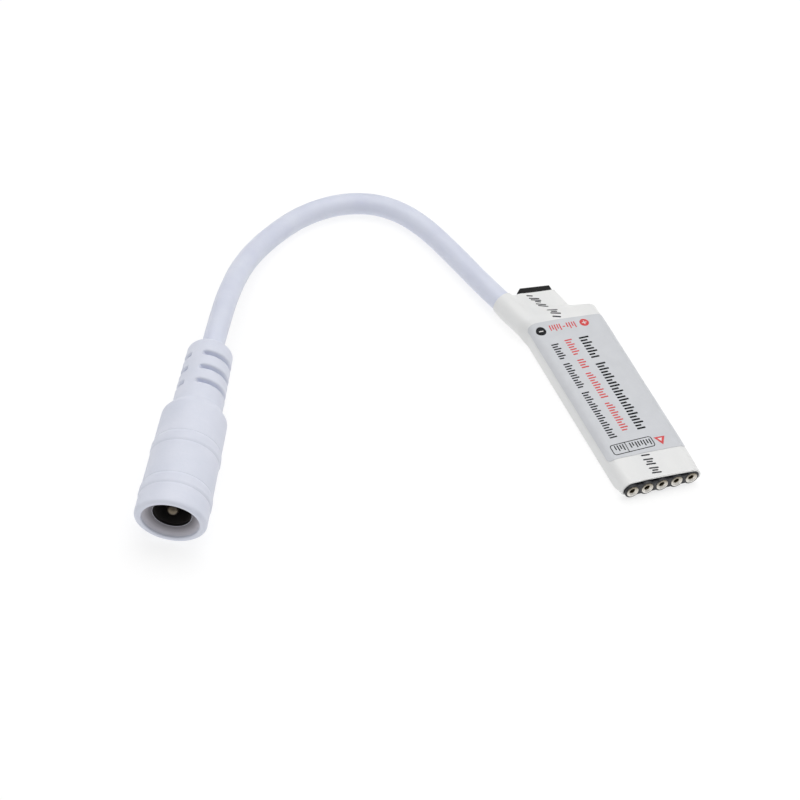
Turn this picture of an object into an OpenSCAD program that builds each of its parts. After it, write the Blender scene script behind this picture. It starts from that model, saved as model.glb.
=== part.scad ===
// LED strip controller: a small board in a white shrink sleeve, with a row of output
// sockets at one end and a short supply cable with an inline jack at the other.
// Millimetres. z = 0 is the surface that everything lies on, x = 0 is the middle of the
// output header and y = 0 lies label_shift from the label's middle. The outputs face -Y.

/* [Output header] */
// Number of output sockets
contact_count = 5; // [4:1:6]
// Distance between neighbouring sockets
contact_pitch = 2.54; // [2.54:0.02:2.7]
// Diameter of the header's round cell about each socket
cell_d = 2.5; // [2.4:0.02:2.52]
// Thickness of the header's bridges between cells
cell_bridge_t = 1.8; // [1.6:0.1:2.2]
// Depth of the header from its face to its back
header_depth = 3; // [2.8:0.1:3.6]
// How far the header stands out of the sleeve
header_proud = 0.4; // [0.2:0.1:0.8]

/* [Output contacts] */
// Diameter of a contact's bright head
head_d = 1.8; // [1.7:0.05:2]
// Thickness of the head
head_t = 0.35; // [0.25:0.05:0.5]
// How far the head stands out of the header's face
head_proud = 0.12; // [0.05:0.01:0.2]
// Diameter of the turned shell behind its head
shell_d = 1.45; // [1.3:0.05:1.6]
// Diameter of the hole in the shell
shell_bore_d = 0.95; // [0.9:0.01:1.05]
// Depth of the hole in the shell
shell_bore_depth = 2.7; // [2.6:0.05:2.8]
// Diameter of the countersunk mouth of that hole
mouth_d = 1.35; // [1.2:0.05:1.5]
// Diameter of a solder tail
tail_d = 0.5; // [0.4:0.05:0.6]
// Length of a solder tail behind the header
tail_len = 2.5; // [2:0.1:3]
// Diameter of the hole that grips a mating pin
clip_bore_d = 0.6; // [0.5:0.02:0.7]
// Length of a spring clip
clip_len = 2.1; // [1.8:0.1:2.2]
// Width of the slits between a clip's fingers
clip_slit_w = 0.1; // [0.06:0.01:0.11]

/* [Circuit board] */
// Thickness of the board
board_t = 1; // [0.8:0.1:1.2]
// Thickness of the copper pads and of the printed aerial
pad_t = 0.035; // [0.035:0.035:0.07]
// Width of the tongue that carries the aerial
tongue_w = 5.9; // [5:0.1:6.2]
// How far the tongue's middle lies to the left of the header's
tongue_shift = 0.95; // [0.8:0.05:1.2]
// How far the tongue sticks out of the sleeve beside the cable
tip_out = 1.7; // [1.3:0.05:1.9]
// How much less it sticks out on its other side
tip_skew = 0.6; // [0.2:0.1:0.8]
// Bevel of the tongue's corner beside the cable
tip_bevel = 0.9; // [0.6:0.1:1.2]
// Bevel of the board's two corners at the header
board_bevel = 1.2; // [1:0.1:1.5]

/* [Shrink sleeve] */
// Wall of the sleeve
sleeve_wall = 0.3; // [0.2:0.05:0.4]
// Room above the board's copper for the parts on it
part_room = 1.6; // [1.6:0.05:2]
// Length of the bare sleeve between the label and the outputs
output_margin = 5.05; // [4.8:0.05:6]
// Length from the label's end to the corner of the shoulder
shoulder_margin = 2.7; // [2.5:0.1:3.2]
// Length of the sloping shoulder
shoulder_len = 1.5; // [1.2:0.1:2]
// Length of the neck from the shoulder's foot to its mouth
neck_len = 4.5; // [4.2:0.05:5]
// How much shorter the sleeve is on the cable than on the tongue
cuff_back = 1.3; // [0.8:0.1:1.6]

/* [Label] */
// Length of the label
label_len = 30.3; // [30:0.1:32]
// How far the label's middle lies towards the outputs
label_shift = 0.6; // [0.4:0.1:0.8]
// Thickness of the label
label_t = 0.1; // [0.06:0.02:0.14]
// Radius of its corners
label_corner_r = 0.8; // [0.5:0.1:0.9]

/* [Supply cable] */
// Diameter of the cable's jacket
cable_d = 3.5; // [3:0.1:3.6]
// Diameter of an insulated core
core_d = 1.1; // [1:0.05:1.2]
// Diameter of the bare wire in a core
wire_d = 0.6; // [0.5:0.05:0.7]

/* [Jack] */
// Length of the jack from its mouth to the end of its strain relief
jack_len = 33.35; // [33:0.05:35]
// Diameter at the mouth
jack_mouth_d = 11; // [10.8:0.1:11.2]
// Diameter at the shoulder
jack_shoulder_d = 10.06; // [9.8:0.02:10.4]
// Distance from the mouth to the shoulder
jack_body_len = 19; // [18.5:0.1:19.5]
// Length of the curved shoulder
jack_shoulder_len = 1.9; // [1.6:0.1:2.2]
// Diameter of the strain relief at its thick end
relief_thick_d = 7.76; // [7.4:0.02:8]
// Diameter of the strain relief at its thin end
relief_thin_d = 7.04; // [6.8:0.02:7.2]
// Length of the rounded end of the strain relief
relief_round_len = 1.1; // [0.9:0.1:1.5]
// Width of a soft raised band
band_w = 2; // [1.6:0.1:2.2]
// How far a band stands proud
band_proud = 0.16; // [0.1:0.02:0.24]
// Width of a flexing groove
groove_w = 0.65; // [0.5:0.05:0.8]
// Depth of a flexing groove
groove_depth = 1.2; // [0.8:0.05:1.3]
// Distance between flexing grooves
groove_pitch = 2.85; // [2.6:0.05:3]
// Width of the two spines that the grooves leave
spine_w = 2.1; // [1.8:0.1:2.6]

/* [Jack socket] */
// Diameter of the recess in the mouth
recess_d = 8.7; // [8.2:0.1:8.9]
// Depth of that recess
recess_depth = 1.3; // [1.2:0.1:1.8]
// Diameter of the hole in the lip behind the recess
lip_d = 5.9; // [5.8:0.1:6.6]
// Thickness of the lip
lip_t = 0.5; // [0.4:0.05:0.8]
// Outer diameter of the black insert
insert_d = 8.1; // [7.9:0.05:8.3]
// Length of the black insert
insert_len = 10.5; // [10:0.1:11]
// Diameter of the hole for the plug's barrel
barrel_d = 5.7; // [5.6:0.02:5.8]
// Depth of the hole for the plug's barrel
barrel_depth = 9.3; // [9:0.1:9.5]
// Diameter of the centre pin
pin_d = 2; // [1.9:0.02:2.1]
// How far the pin's tip stands out of the insert's face
pin_proud = 0.5; // [-0.4:0.1:0.6]
// Thickness of the spring leaf
leaf_t = 0.25; // [0.2:0.05:0.3]
// Width of the spring leaf
leaf_w = 2; // [1.6:0.1:2.2]

/* [Hidden] */

// Roundness of bored and turned pieces
$fn = 48;
// Overrun of every cut past the face that it opens
cut = 0.2;
// Clearance of a piece that is pressed or moulded into another
fit_gap = 0.02;
// Clearance of the cable in the sleeve, the jack and the inner shell
cable_gap = 0.07;
// Space between neighbouring parts on the board
part_gap = 0.5;
// Space between the board's parts and its side edges
edge_margin = 0.45;

// Heights of the stack on the surface
board_z = sleeve_wall + fit_gap;
copper_z = board_z + board_t;
pad_z = copper_z + pad_t;
axis_z = pad_z + tail_d / 2;
body_h = pad_z + part_room + sleeve_wall + fit_gap;
neck_play = 0.05;
neck_h = pad_z + neck_play + sleeve_wall;

// Places along the module
label_y = label_len / 2 - label_shift;
label_start_y = label_y - label_len;
sleeve_y = label_start_y - output_margin;
face_y = sleeve_y - header_proud;
header_back_y = face_y + header_depth;
shoulder_y = label_y + shoulder_margin;
foot_y = shoulder_y + shoulder_len;
mouth_y = foot_y + neck_len;
tip_y = mouth_y + tip_out;

// Places across the module
function contact_x(i) = (i - (contact_count - 1) / 2) * contact_pitch;
end_contact_x = contact_x(contact_count - 1);
header_half_w = end_contact_x + cell_d / 2;
board_half_w = header_half_w;
side_gap = 0.12;
body_x = board_half_w + side_gap + sleeve_wall;
tongue_left_x = -tongue_shift - tongue_w / 2;
tongue_right_x = -tongue_shift + tongue_w / 2;
neck_x = tongue_right_x + side_gap + sleeve_wall;
notch_y = label_y + fit_gap;
board_shoulder_y = shoulder_y - sleeve_wall - fit_gap;

// Route of the cable from its end inside the jack to its end inside the sleeve, with y
// measured from the label's end
cable_points = [
  [-66.85, -8.25, 7.07], [-63.1, -1.94, 7.71], [-59.3, 4.45, 8.35], [-55, 11.25, 8.6],
  [-52.5, 15.25, 7.8], [-49.9, 19.15, 6.4], [-47.2, 22.95, 5], [-44.2, 26.55, 3.6],
  [-40.8, 29.85, 2.5], [-36.9, 32.65, 1.9], [-32.6, 34.85, 1.8], [-27.9, 36.15, 1.8],
  [-23.1, 36.35, 1.8], [-18.4, 34.95, 1.8], [-14.9, 31.85, 1.8], [-12.6, 27.55, 1.8],
  [-11.2, 22.95, 1.8], [-10.1, 18.15, 1.9], [-9.1, 13.45, 2], [-8, 8.95, 2.1],
  [-6.05, 2.05, 2.1]
];
cable_route = [for (p = cable_points) p + [0, label_y, 0]];
route_end = len(cable_route) - 1;
jack_end_step = 2;
cable_sides = 8;

// Directions of the cable at its two ends
jack_run = cable_route[jack_end_step] - cable_route[0];
jack_dir = jack_run / norm(jack_run);
jack_turn = atan2(jack_dir.y, jack_dir.x);
jack_tilt = asin(jack_dir.z);
jack_origin = cable_route[jack_end_step] - jack_len * jack_dir;
entry_run = cable_route[route_end - 1] - cable_route[route_end];
entry_lean = atan2(-entry_run.x, entry_run.y);
function entry_x(y) = cable_route[route_end].x
  + entry_run.x * (y - cable_route[route_end].y) / entry_run.y;

// Blending
function mix(a, b, s) = a + (b - a) * s;
function clamp01(s) = max(0, min(1, s));
function ease(s) = clamp01(s) * clamp01(s) * (3 - 2 * clamp01(s));
function unit(v) = v / norm(v);

// Faces of a grid of points that wraps round, row after row
function wrap_faces(rows, n, start, inward) = [
  for (i = [0 : rows - 2], j = [0 : n - 1])
    let (a = start + i * n + j, b = start + i * n + (j + 1) % n, c = a + n, d = b + n)
      each inward ? [[a, c, b], [b, c, d]] : [[a, b, c], [b, d, c]]
];
// Faces of a grid of points with two open sides
function strip_faces(rows, n, start, inward) = [
  for (i = [0 : rows - 2], j = [0 : n - 2])
    let (a = start + i * n + j, b = a + 1, c = a + n, d = b + n)
      each inward ? [[a, c, b], [b, c, d]] : [[a, b, c], [b, d, c]]
];

// A round tube along a list of points
function tube_ring(route, i, r, sides) =
  let (
    last = len(route) - 1,
    ahead = route[min(i + 1, last)] - route[max(i - 1, 0)],
    side = unit(cross(ahead, [0, 0, 1])),
    rise = unit(cross(side, ahead))
  )
  [for (k = [0 : sides - 1])
    let (a = (k + 0.5) * 360 / sides)
      route[i] + r * (cos(a) * side + sin(a) * rise)];
module tube(route, r, sides) {
  rows = len(route);
  points = [for (i = [0 : rows - 1]) each tube_ring(route, i, r, sides)];
  near_cap = [[for (k = [0 : sides - 1]) sides - 1 - k]];
  far_cap = [[for (k = [0 : sides - 1]) (rows - 1) * sides + k]];
  polyhedron(points, concat(wrap_faces(rows, sides, 0, false), near_cap, far_cap));
}

// Section of the sleeve
low_r = 0.45;
top_r = 1.5;
neck_r = 0.5;
straight_side = 0.06;
cable_r = cable_d / 2;
cuff_r = cable_r + cable_gap + sleeve_wall;
cuff_arc_r = cuff_r - straight_side / 2;
end_arc_r = axis_z - straight_side / 2;
crown = 0.08;
// Where the sleeve starts to swell towards the cable and where it wraps it
swell_len = 1.75;
swell_y = label_y - swell_len;
wrap_y = cable_route[route_end].y;
// How flat the film stays beside the cable at the mouth, and where it meets the cable
web_pull_share = 0.5;
web_angle_share = 0.14;
// Steps of the section's arcs, web and underside
low_steps = 4;
top_steps = 8;
web_steps = 8;
floor_steps = 4;

function swell(y) = ease((y - swell_y) / (wrap_y - swell_y));
function valley(y) = ease((y - label_y) / (mouth_y - label_y));
function draw_back(y) = cuff_back * ease((y - swell_y) / (mouth_y - swell_y));

// Right-hand outline along the module: y, edge, height, lower and upper corner radius
shoulder_shares = [-0.4, -0.17, 0, 0.25, 0.6, 1];
shoulder_edge_shares = [0, 0.03, 0.12, 0.3, 0.56, 0.78];
shoulder_drop_shares = [0.05, 0.12, 0.22, 0.4, 0.62, 0.84];
neck_shares = [0.12, 0.3, 0.5, 0.7, 0.86];
neck_edge_shares = [0.84, 0.87, 0.91, 0.95, 0.98];
header_low_shares = [1, 0.92, 0.5, 0.12, 0];
header_fade_shares = [0, 0.3, 0.6, 0.78, 1];
header_fade_len = header_depth - header_proud + board_bevel;

function body_station(y) = [y, body_x, body_h, low_r, top_r];
function header_station(i) =
  let (s = header_fade_shares[i], low = header_low_shares[i])
  [sleeve_y + s * header_fade_len, mix(end_contact_x + axis_z, body_x, s),
   mix(2 * axis_z, body_h, s), mix(low_r, end_arc_r, low), mix(top_r, end_arc_r, 1 - s)];
function shoulder_station(i) =
  let (s = shoulder_drop_shares[i])
  [shoulder_y + shoulder_shares[i] * shoulder_len,
   mix(body_x, neck_x, shoulder_edge_shares[i]),
   mix(body_h, neck_h, s), low_r, mix(top_r, neck_r, s)];
function neck_station(i) =
  [foot_y + neck_shares[i] * neck_len, mix(body_x, neck_x, neck_edge_shares[i]),
   neck_h, low_r, neck_r];
corner_row_shares = [0, 0.134, 0.5, 1];
function corner_pull(s) = 1 - sqrt(1 - (1 - s) * (1 - s));
label_steps = 4;
label_rows = concat(
  [for (s = corner_row_shares) label_start_y + s * label_corner_r],
  [for (k = [1 : label_steps - 1]) mix(label_start_y + label_corner_r, swell_y, k / label_steps)],
  [swell_y],
  [for (s = [3 : -1 : 0]) label_y - corner_row_shares[s] * label_corner_r]
);
stations = concat(
  [for (i = [0 : len(header_low_shares) - 1]) header_station(i)],
  [for (y = label_rows) body_station(y)],
  [for (i = [0 : len(shoulder_shares) - 1]) shoulder_station(i)],
  [for (i = [0 : len(neck_shares) - 1]) neck_station(i)],
  [[mouth_y, neck_x, neck_h, low_r, neck_r]]
);

// The left-hand side swells from the body's own corner to the cuff about the cable
function left_edge(y) = mix(-body_x, entry_x(y) - cuff_r, swell(y));
function left_low_r(y) = mix(low_r, cuff_arc_r, swell(y) * swell(y));
function left_top_r(st) = mix(st[4], cuff_arc_r, swell(st[0]));
function left_h(st) = mix(st[0] < shoulder_y ? st[2] : body_h, 2 * cuff_r, swell(st[0]));
// A point of the left-hand side, q beside the axis of its upper corner, turned by the lean
// and drawn back along the cable
function left_point(st, q, z) =
  let (
    y = st[0],
    lean = swell(y) * entry_lean,
    cx = left_edge(y) + left_top_r(st),
    back = draw_back(y)
  )
  [cx + q * cos(lean) + back * sin(lean), y + q * sin(lean) - back * cos(lean), z];
function web_start(st) = 90 * mix(1, web_angle_share, valley(st[0]));
function right_arc(st, d, from) = [
  for (k = [0 : top_steps])
    let (a = mix(from, 90, k / top_steps))
      [st[1] - st[4] + (st[4] - d) * cos(a), st[0], st[2] - st[4] + (st[4] - d) * sin(a)]
];
function left_arc(st, d, to) = [
  for (k = [0 : top_steps])
    let (a = mix(web_start(st), to, k / top_steps), r = left_top_r(st))
      left_point(st, (r - d) * cos(a), left_h(st) - r + (r - d) * sin(a))
];
function web(st, d) =
  let (
    from = [st[1] - st[4], st[0], st[2] - d],
    a = web_start(st),
    r = left_top_r(st),
    to = left_point(st, (r - d) * cos(a), left_h(st) - r + (r - d) * sin(a)),
    span = norm(to - from),
    pull = span * mix(1, web_pull_share, valley(st[0])),
    leave = [-span, 0, 0],
    arrive = pull * [-sin(a), 0, cos(a)]
  )
  [for (k = [1 : web_steps - 1])
    let (u = k / web_steps, u2 = u * u, u3 = u2 * u, reach = 3 * u2 - 2 * u3)
      (1 - reach) * from + (u3 - 2 * u2 + u) * leave + reach * to + (u3 - u2) * arrive
      + [0, (reach - u2 * u2) * (from.y - to.y), crown * 4 * u * (1 - u) * (1 - valley(st[0]))]];
function low_right(st, d) = [
  for (k = [0 : low_steps])
    let (a = 90 * (k / low_steps - 1))
      [st[1] - st[3] + (st[3] - d) * cos(a), st[0], st[3] + (st[3] - d) * sin(a)]
];
function low_left(st, d) = [
  for (k = [0 : low_steps])
    let (a = 180 + 90 * k / low_steps, r = left_low_r(st[0]))
      left_point(st, r - left_top_r(st) + (r - d) * cos(a), r + (r - d) * sin(a))
];
function section(st, d) =
  let (
    right = low_right(st, d),
    left = low_left(st, d),
    floor_from = left[low_steps],
    floor_to = right[0]
  )
  concat(right, right_arc(st, d, 0), web(st, d), left_arc(st, d, 180), left,
    [for (k = [1 : floor_steps - 1]) mix(floor_from, floor_to, k / floor_steps)]);
section_points = 2 * (low_steps + 1) + 2 * (top_steps + 1) + web_steps - 1 + floor_steps - 1;

module shrink_sleeve() {
  rows = len(stations);
  inner = rows * section_points;
  points = concat(
    [for (st = stations) each section(st, 0)],
    [for (st = stations) each section(st, sleeve_wall)]
  );
  near_rim = [
    for (j = [0 : section_points - 1])
      let (a = j, b = (j + 1) % section_points)
        each [[b, a, inner + a], [b, inner + a, inner + b]]
  ];
  far_rim = [
    for (j = [0 : section_points - 1])
      let (a = inner - section_points + j, b = inner - section_points + (j + 1) % section_points)
        each [[a, b, a + inner], [b, b + inner, a + inner]]
  ];
  color([0.93, 0.93, 0.94])
    polyhedron(points, concat(
      wrap_faces(rows, section_points, 0, false),
      wrap_faces(rows, section_points, inner, true),
      near_rim, far_rim));
}

// The label lies on the film and wraps a little way down both sides
label_wrap = 28;
function label_strip(st, d, pull) =
  let (turn = pull * label_corner_r / top_r * 180 / PI)
  concat(right_arc(st, d, label_wrap + turn), web(st, d), left_arc(st, d, 180 - label_wrap - turn));
module rating_label() {
  pulls = concat(
    [for (s = corner_row_shares) corner_pull(s)], [0, 0, 0, 0],
    [for (s = [3 : -1 : 0]) corner_pull(corner_row_shares[s])]
  );
  rows = len(label_rows);
  wide = 2 * (top_steps + 1) + web_steps - 1;
  under = rows * wide;
  points = concat(
    [for (i = [0 : rows - 1])
      each label_strip(body_station(label_rows[i]), -fit_gap - label_t, pulls[i])],
    [for (i = [0 : rows - 1])
      each label_strip(body_station(label_rows[i]), -fit_gap, pulls[i])]
  );
  near_edge = [
    for (j = [0 : wide - 2])
      each [[j + 1, j, under + j], [j + 1, under + j, under + j + 1]]
  ];
  far_edge = [
    for (j = [under - wide : under - 2])
      each [[j, j + 1, under + j], [j + 1, under + j + 1, under + j]]
  ];
  right_edge = [
    for (i = [0 : rows - 2])
      let (a = i * wide, b = a + wide)
        each [[a, b, under + a], [b, under + b, under + a]]
  ];
  left_edge_faces = [
    for (i = [0 : rows - 2])
      let (a = i * wide + wide - 1, b = a + wide)
        each [[b, a, under + a], [b, under + a, under + b]]
  ];
  color([0.8, 0.82, 0.84])
    polyhedron(points, concat(
      strip_faces(rows, wide, 0, false), strip_faces(rows, wide, under, true),
      near_edge, far_edge, right_edge, left_edge_faces));
}

// Board
notch_fillet = 0.5;
module circuit_board() {
  color([0.07, 0.07, 0.08])
    translate([0, 0, board_z])
      linear_extrude(board_t)
        polygon([
          [-board_half_w + board_bevel, header_back_y], [board_half_w - board_bevel, header_back_y],
          [board_half_w, header_back_y + board_bevel],
          [board_half_w, board_shoulder_y - board_bevel],
          [board_half_w - board_bevel, board_shoulder_y],
          [tongue_right_x + notch_fillet, board_shoulder_y],
          [tongue_right_x, board_shoulder_y + notch_fillet], [tongue_right_x, tip_y - tip_skew],
          [tongue_left_x + tip_bevel, tip_y], [tongue_left_x, tip_y - tip_bevel],
          [tongue_left_x, notch_y + notch_fillet],
          [tongue_left_x - notch_fillet, notch_y], [-board_half_w, notch_y]
        ]);
}

// Copper pads: five for the outputs and two for the supply
output_pad_w = 1.5;
output_pad_len = tail_len + part_gap / 2;
supply_pad_w = 2.2;
supply_pad_len = 2.4;
lead_place_shares = [-0.7, 0.5];
function lead_x(i) = lead_place_shares[i] * board_half_w;
supply_pad_y = notch_y - part_gap - supply_pad_len - 2 * core_d;
module pad(x, y, w, l) {
  translate([x - w / 2, y, copper_z])
    cube([w, l, pad_t]);
}
module board_pads() {
  color([0.8, 0.62, 0.3]) {
    for (i = [0 : contact_count - 1])
      pad(contact_x(i), header_back_y, output_pad_w, output_pad_len);
    for (i = [0, 1])
      pad(lead_x(i), supply_pad_y, supply_pad_w, supply_pad_len);
  }
}

// Printed aerial: a meander of equal runs along the tongue
trace_w = 0.4;
trace_margin = 0.5;
trace_runs = 7;
trace_y = board_shoulder_y + notch_fillet;
trace_step = (mouth_y - trace_y - trace_w) / (trace_runs - 1);
trace_half = tongue_w / 2 - trace_margin;
module antenna_trace() {
  color([0.8, 0.62, 0.3])
    translate([-tongue_shift, trace_y, copper_z]) {
      for (i = [0 : trace_runs - 1])
        translate([-trace_half, i * trace_step, 0])
          cube([2 * trace_half, trace_w, pad_t]);
      for (i = [0 : trace_runs - 2])
        translate([i % 2 == 0 ? trace_half - trace_w : -trace_half, i * trace_step, 0])
          cube([trace_w, trace_step + trace_w, pad_t]);
    }
}

// Header and contacts, each drawn along +Y from the header's face
module at_contact(i) {
  translate([contact_x(i), face_y, axis_z])
    rotate([-90, 0, 0])
      children();
}
head_seat = head_t - head_proud;
module header_housing() {
  color([0.1, 0.1, 0.11])
    difference() {
      union() {
        for (i = [0 : contact_count - 1])
          at_contact(i)
            cylinder(d = cell_d, h = header_depth);
        translate([-end_contact_x, face_y, axis_z - cell_bridge_t / 2])
          cube([2 * end_contact_x, header_depth, cell_bridge_t]);
      }
      for (i = [0 : contact_count - 1])
        at_contact(i) {
          translate([0, 0, -cut])
            cylinder(d = shell_d + 2 * fit_gap, h = header_depth + 2 * cut);
          translate([0, 0, -cut])
            cylinder(d = head_d + 2 * fit_gap, h = head_seat + cut);
        }
    }
}
mouth_depth = (mouth_d - shell_bore_d) / 2;
module contact_shells() {
  color([0.85, 0.84, 0.8])
    for (i = [0 : contact_count - 1])
      at_contact(i)
        difference() {
          union() {
            translate([0, 0, -head_proud])
              cylinder(d = head_d, h = head_t);
            cylinder(d = shell_d, h = header_depth);
            cylinder(d = tail_d, h = header_depth + tail_len);
          }
          translate([0, 0, -head_proud - cut])
            cylinder(d = shell_bore_d, h = shell_bore_depth + cut);
          translate([0, 0, -head_proud])
            cylinder(d1 = mouth_d, d2 = shell_bore_d, h = mouth_depth);
        }
}
finger_share = 0.6;
clip_start = mouth_depth - head_proud;
module contact_clips() {
  clip_d = shell_bore_d - 2 * fit_gap;
  slit_len = finger_share * clip_len;
  color([0.72, 0.56, 0.26])
    for (i = [0 : contact_count - 1])
      at_contact(i)
        translate([0, 0, clip_start])
          difference() {
            cylinder(d = clip_d, h = clip_len);
            translate([0, 0, -cut])
              cylinder(d = clip_bore_d, h = clip_len + 2 * cut);
            for (a = [0, 90])
              rotate(a)
                translate([-clip_d, -clip_slit_w / 2, clip_len - slit_len])
                  cube([2 * clip_d, clip_slit_w, slit_len + cut]);
          }
}
output_bead_d = 1.2;
output_bead_share = 0.8;
module output_solder() {
  bead_len = output_bead_share * tail_len;
  color([0.75, 0.76, 0.78])
    for (i = [0 : contact_count - 1])
      difference() {
        intersection() {
          translate([contact_x(i), header_back_y + part_gap / 2, axis_z])
            rotate([-90, 0, 0])
              cylinder(d = output_bead_d, h = bead_len);
          translate([contact_x(i) - output_bead_d, header_back_y, pad_z])
            cube([2 * output_bead_d, tail_len, output_bead_d]);
        }
        at_contact(i)
          cylinder(d = tail_d + 2 * fit_gap, h = header_depth + tail_len + cut);
      }
}

// Leads of a chip: u runs outwards from the body's side, z up from the pads
lead_t = 0.15;
lead_foot = 0.45;
lead_root = 0.1;
module gull_lead(reach, mid_z, w) {
  knee = reach - lead_foot;
  rotate([90, 0, 0])
    translate([0, 0, -w / 2])
      linear_extrude(w)
        polygon([
          [-lead_root, mid_z], [knee, mid_z], [knee, lead_t], [reach, lead_t], [reach, 0],
          [knee - lead_t, 0], [knee - lead_t, mid_z - lead_t], [-lead_root, mid_z - lead_t]
        ]);
}
// A moulded body that stands a hair above the pads, with a dimple by its first lead
standoff = 0.05;
dimple_d = 0.5;
dimple_depth = 0.1;
module chip_body(w, l, h) {
  difference() {
    translate([-w / 2, -l / 2, standoff])
      cube([w, l, h - standoff]);
    translate([dimple_d - w / 2, l / 2 - dimple_d, h - dimple_depth])
      cylinder(d = dimple_d, h = dimple_depth + cut);
  }
}
// A package with two rows of leads that leave along X, as many as its length takes
module dual_package(w, l, h, span, pitch, lead_w) {
  leads = 1 + floor((l - lead_w) / pitch);
  chip_body(w, l, h);
  for (side = [0, 1], k = [0 : leads - 1])
    rotate(side * 180)
      translate([w / 2, (k - (leads - 1) / 2) * pitch, 0])
        gull_lead((span - w) / 2, h / 2, lead_w);
}
// A two-terminal part: a body between two wrapped ends
end_cap_share = 0.22;
end_cap_t = 0.03;
module two_terminal(l, w, h) {
  translate([-l / 2 + end_cap_t, -w / 2 + end_cap_t, end_cap_t])
    cube([l - 2 * end_cap_t, w - 2 * end_cap_t, h - 2 * end_cap_t]);
  for (side = [0, 1])
    rotate(side * 180)
      translate([-l / 2, -w / 2, 0])
        cube([end_cap_share * l, w, h]);
}
module on_pads(x, y) {
  translate([x, y, pad_z])
    children();
}

// Output transistors in one row behind the header, each with one lead on the header's side
sot_w = 2.9;
sot_l = 1.3;
sot_h = 1;
sot_span = 2.4;
sot_lead_w = 0.4;
sot_lead_pitch = 1.9;
channel_count = contact_count - 1;
channel_pitch = sot_w + (2 * (board_half_w - edge_margin) - channel_count * sot_w) / channel_count;
function channel_x(i) = (i - (channel_count - 1) / 2) * channel_pitch;
transistor_y = header_back_y + output_pad_len + part_gap / 2 + sot_span / 2;
module output_transistors() {
  reach = (sot_span - sot_l) / 2;
  color([0.12, 0.12, 0.13])
    for (i = [0 : channel_count - 1])
      on_pads(channel_x(i), transistor_y) {
        chip_body(sot_w, sot_l, sot_h);
        translate([0, -sot_l / 2, 0])
          rotate(-90)
            gull_lead(reach, sot_h / 2, sot_lead_w);
        for (side = [-1, 1])
          translate([side * sot_lead_pitch / 2, sot_l / 2, 0])
            rotate(90)
              gull_lead(reach, sot_h / 2, sot_lead_w);
      }
}

// Small two-terminal parts
small_l = 1.6;
small_w = 0.8;
small_h = 0.45;
gate_y = transistor_y + sot_span / 2 + part_gap / 2 + small_l / 2;
module gate_resistors() {
  color([0.16, 0.16, 0.18])
    for (i = [0 : channel_count - 1])
      on_pads(channel_x(i), gate_y)
        rotate(90)
          two_terminal(small_l, small_w, small_h);
}

// Chips stand along the left-hand edge, one behind the other
chip_w = 3.9;
chip_h = 1.5;
chip_span = 6;
chip_lead_pitch = 1.27;
chip_lead_w = 0.4;
control_len = 8.65;
receiver_len = 4.9;
chip_x = -board_half_w + edge_margin + chip_span / 2;
control_y = gate_y + small_l / 2 + part_gap + control_len / 2;
receiver_y = control_y + control_len / 2 + part_gap + receiver_len / 2;
module microcontroller() {
  color([0.1, 0.1, 0.11])
    on_pads(chip_x, control_y)
      dual_package(chip_w, control_len, chip_h, chip_span, chip_lead_pitch, chip_lead_w);
}
module radio_receiver() {
  color([0.1, 0.1, 0.11])
    on_pads(chip_x, receiver_y)
      dual_package(chip_w, receiver_len, chip_h, chip_span, chip_lead_pitch, chip_lead_w);
}

// The right-hand column starts beside the microcontroller
column_x = (chip_x + chip_span / 2 + board_half_w) / 2;
regulator_w = 4.5;
regulator_l = 2.5;
regulator_h = 1.5;
regulator_span = 4.1;
regulator_pitch = 1.5;
regulator_lead_w = 0.5;
regulator_y = control_y - control_len / 2 + regulator_span / 2;
module voltage_regulator() {
  reach = (regulator_span - regulator_l) / 2;
  color([0.12, 0.12, 0.13])
    on_pads(column_x, regulator_y) {
      chip_body(regulator_w, regulator_l, regulator_h);
      for (k = [-1 : 1])
        translate([k * regulator_pitch, regulator_l / 2, 0])
          rotate(90)
            gull_lead(reach, regulator_h / 2, regulator_lead_w);
      translate([0, -regulator_l / 2, 0])
        rotate(-90)
          gull_lead(reach, regulator_h / 2, regulator_pitch);
    }
}
bulk_l = 3.2;
bulk_w = 2.5;
bulk_h = 1.4;
input_cap_y = regulator_y + regulator_span / 2 + part_gap + bulk_w / 2;
module input_capacitor() {
  color([0.72, 0.6, 0.42])
    on_pads(column_x, input_cap_y)
      two_terminal(bulk_l, bulk_w, bulk_h);
}
medium_l = 3.2;
medium_w = 1.6;
medium_h = 1;
regulator_cap_y = input_cap_y + bulk_w / 2 + part_gap + medium_w / 2;
module regulator_capacitor() {
  color([0.72, 0.6, 0.42])
    on_pads(column_x, regulator_cap_y)
      two_terminal(medium_l, medium_w, medium_h);
}
bypass_y = regulator_cap_y + medium_w / 2 + part_gap + small_l / 2;
column_step = small_w + part_gap;
module bypass_capacitors() {
  color([0.72, 0.6, 0.42])
    for (k = [-1 : 1])
      on_pads(column_x + k * column_step, bypass_y)
        rotate(90)
          two_terminal(small_l, small_w, small_h);
}
can_l = 5;
can_w = 3.2;
can_base_t = 0.4;
can_h = 1.1;
can_rim = 0.25;
can_corner_r = 0.6;
crystal_y = receiver_y + receiver_len / 2 + part_gap + can_w / 2;
module can_plate(l, w, r, h) {
  for (sx = [-1, 1], sy = [-1, 1])
    translate([sx * (l / 2 - r), sy * (w / 2 - r), 0])
      cylinder(r = r, h = h);
  translate([-l / 2, -w / 2 + r, 0])
    cube([l, w - 2 * r, h]);
  translate([-l / 2 + r, -w / 2, 0])
    cube([l - 2 * r, w, h]);
}
module crystal() {
  color([0.78, 0.78, 0.8])
    on_pads(chip_x, crystal_y) {
      can_plate(can_l, can_w, can_corner_r, can_base_t);
      can_plate(can_l - 2 * can_rim, can_w - 2 * can_rim, can_corner_r - can_rim, can_h);
    }
}
bias_y = bypass_y + small_l / 2 + part_gap + small_l / 2;
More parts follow.
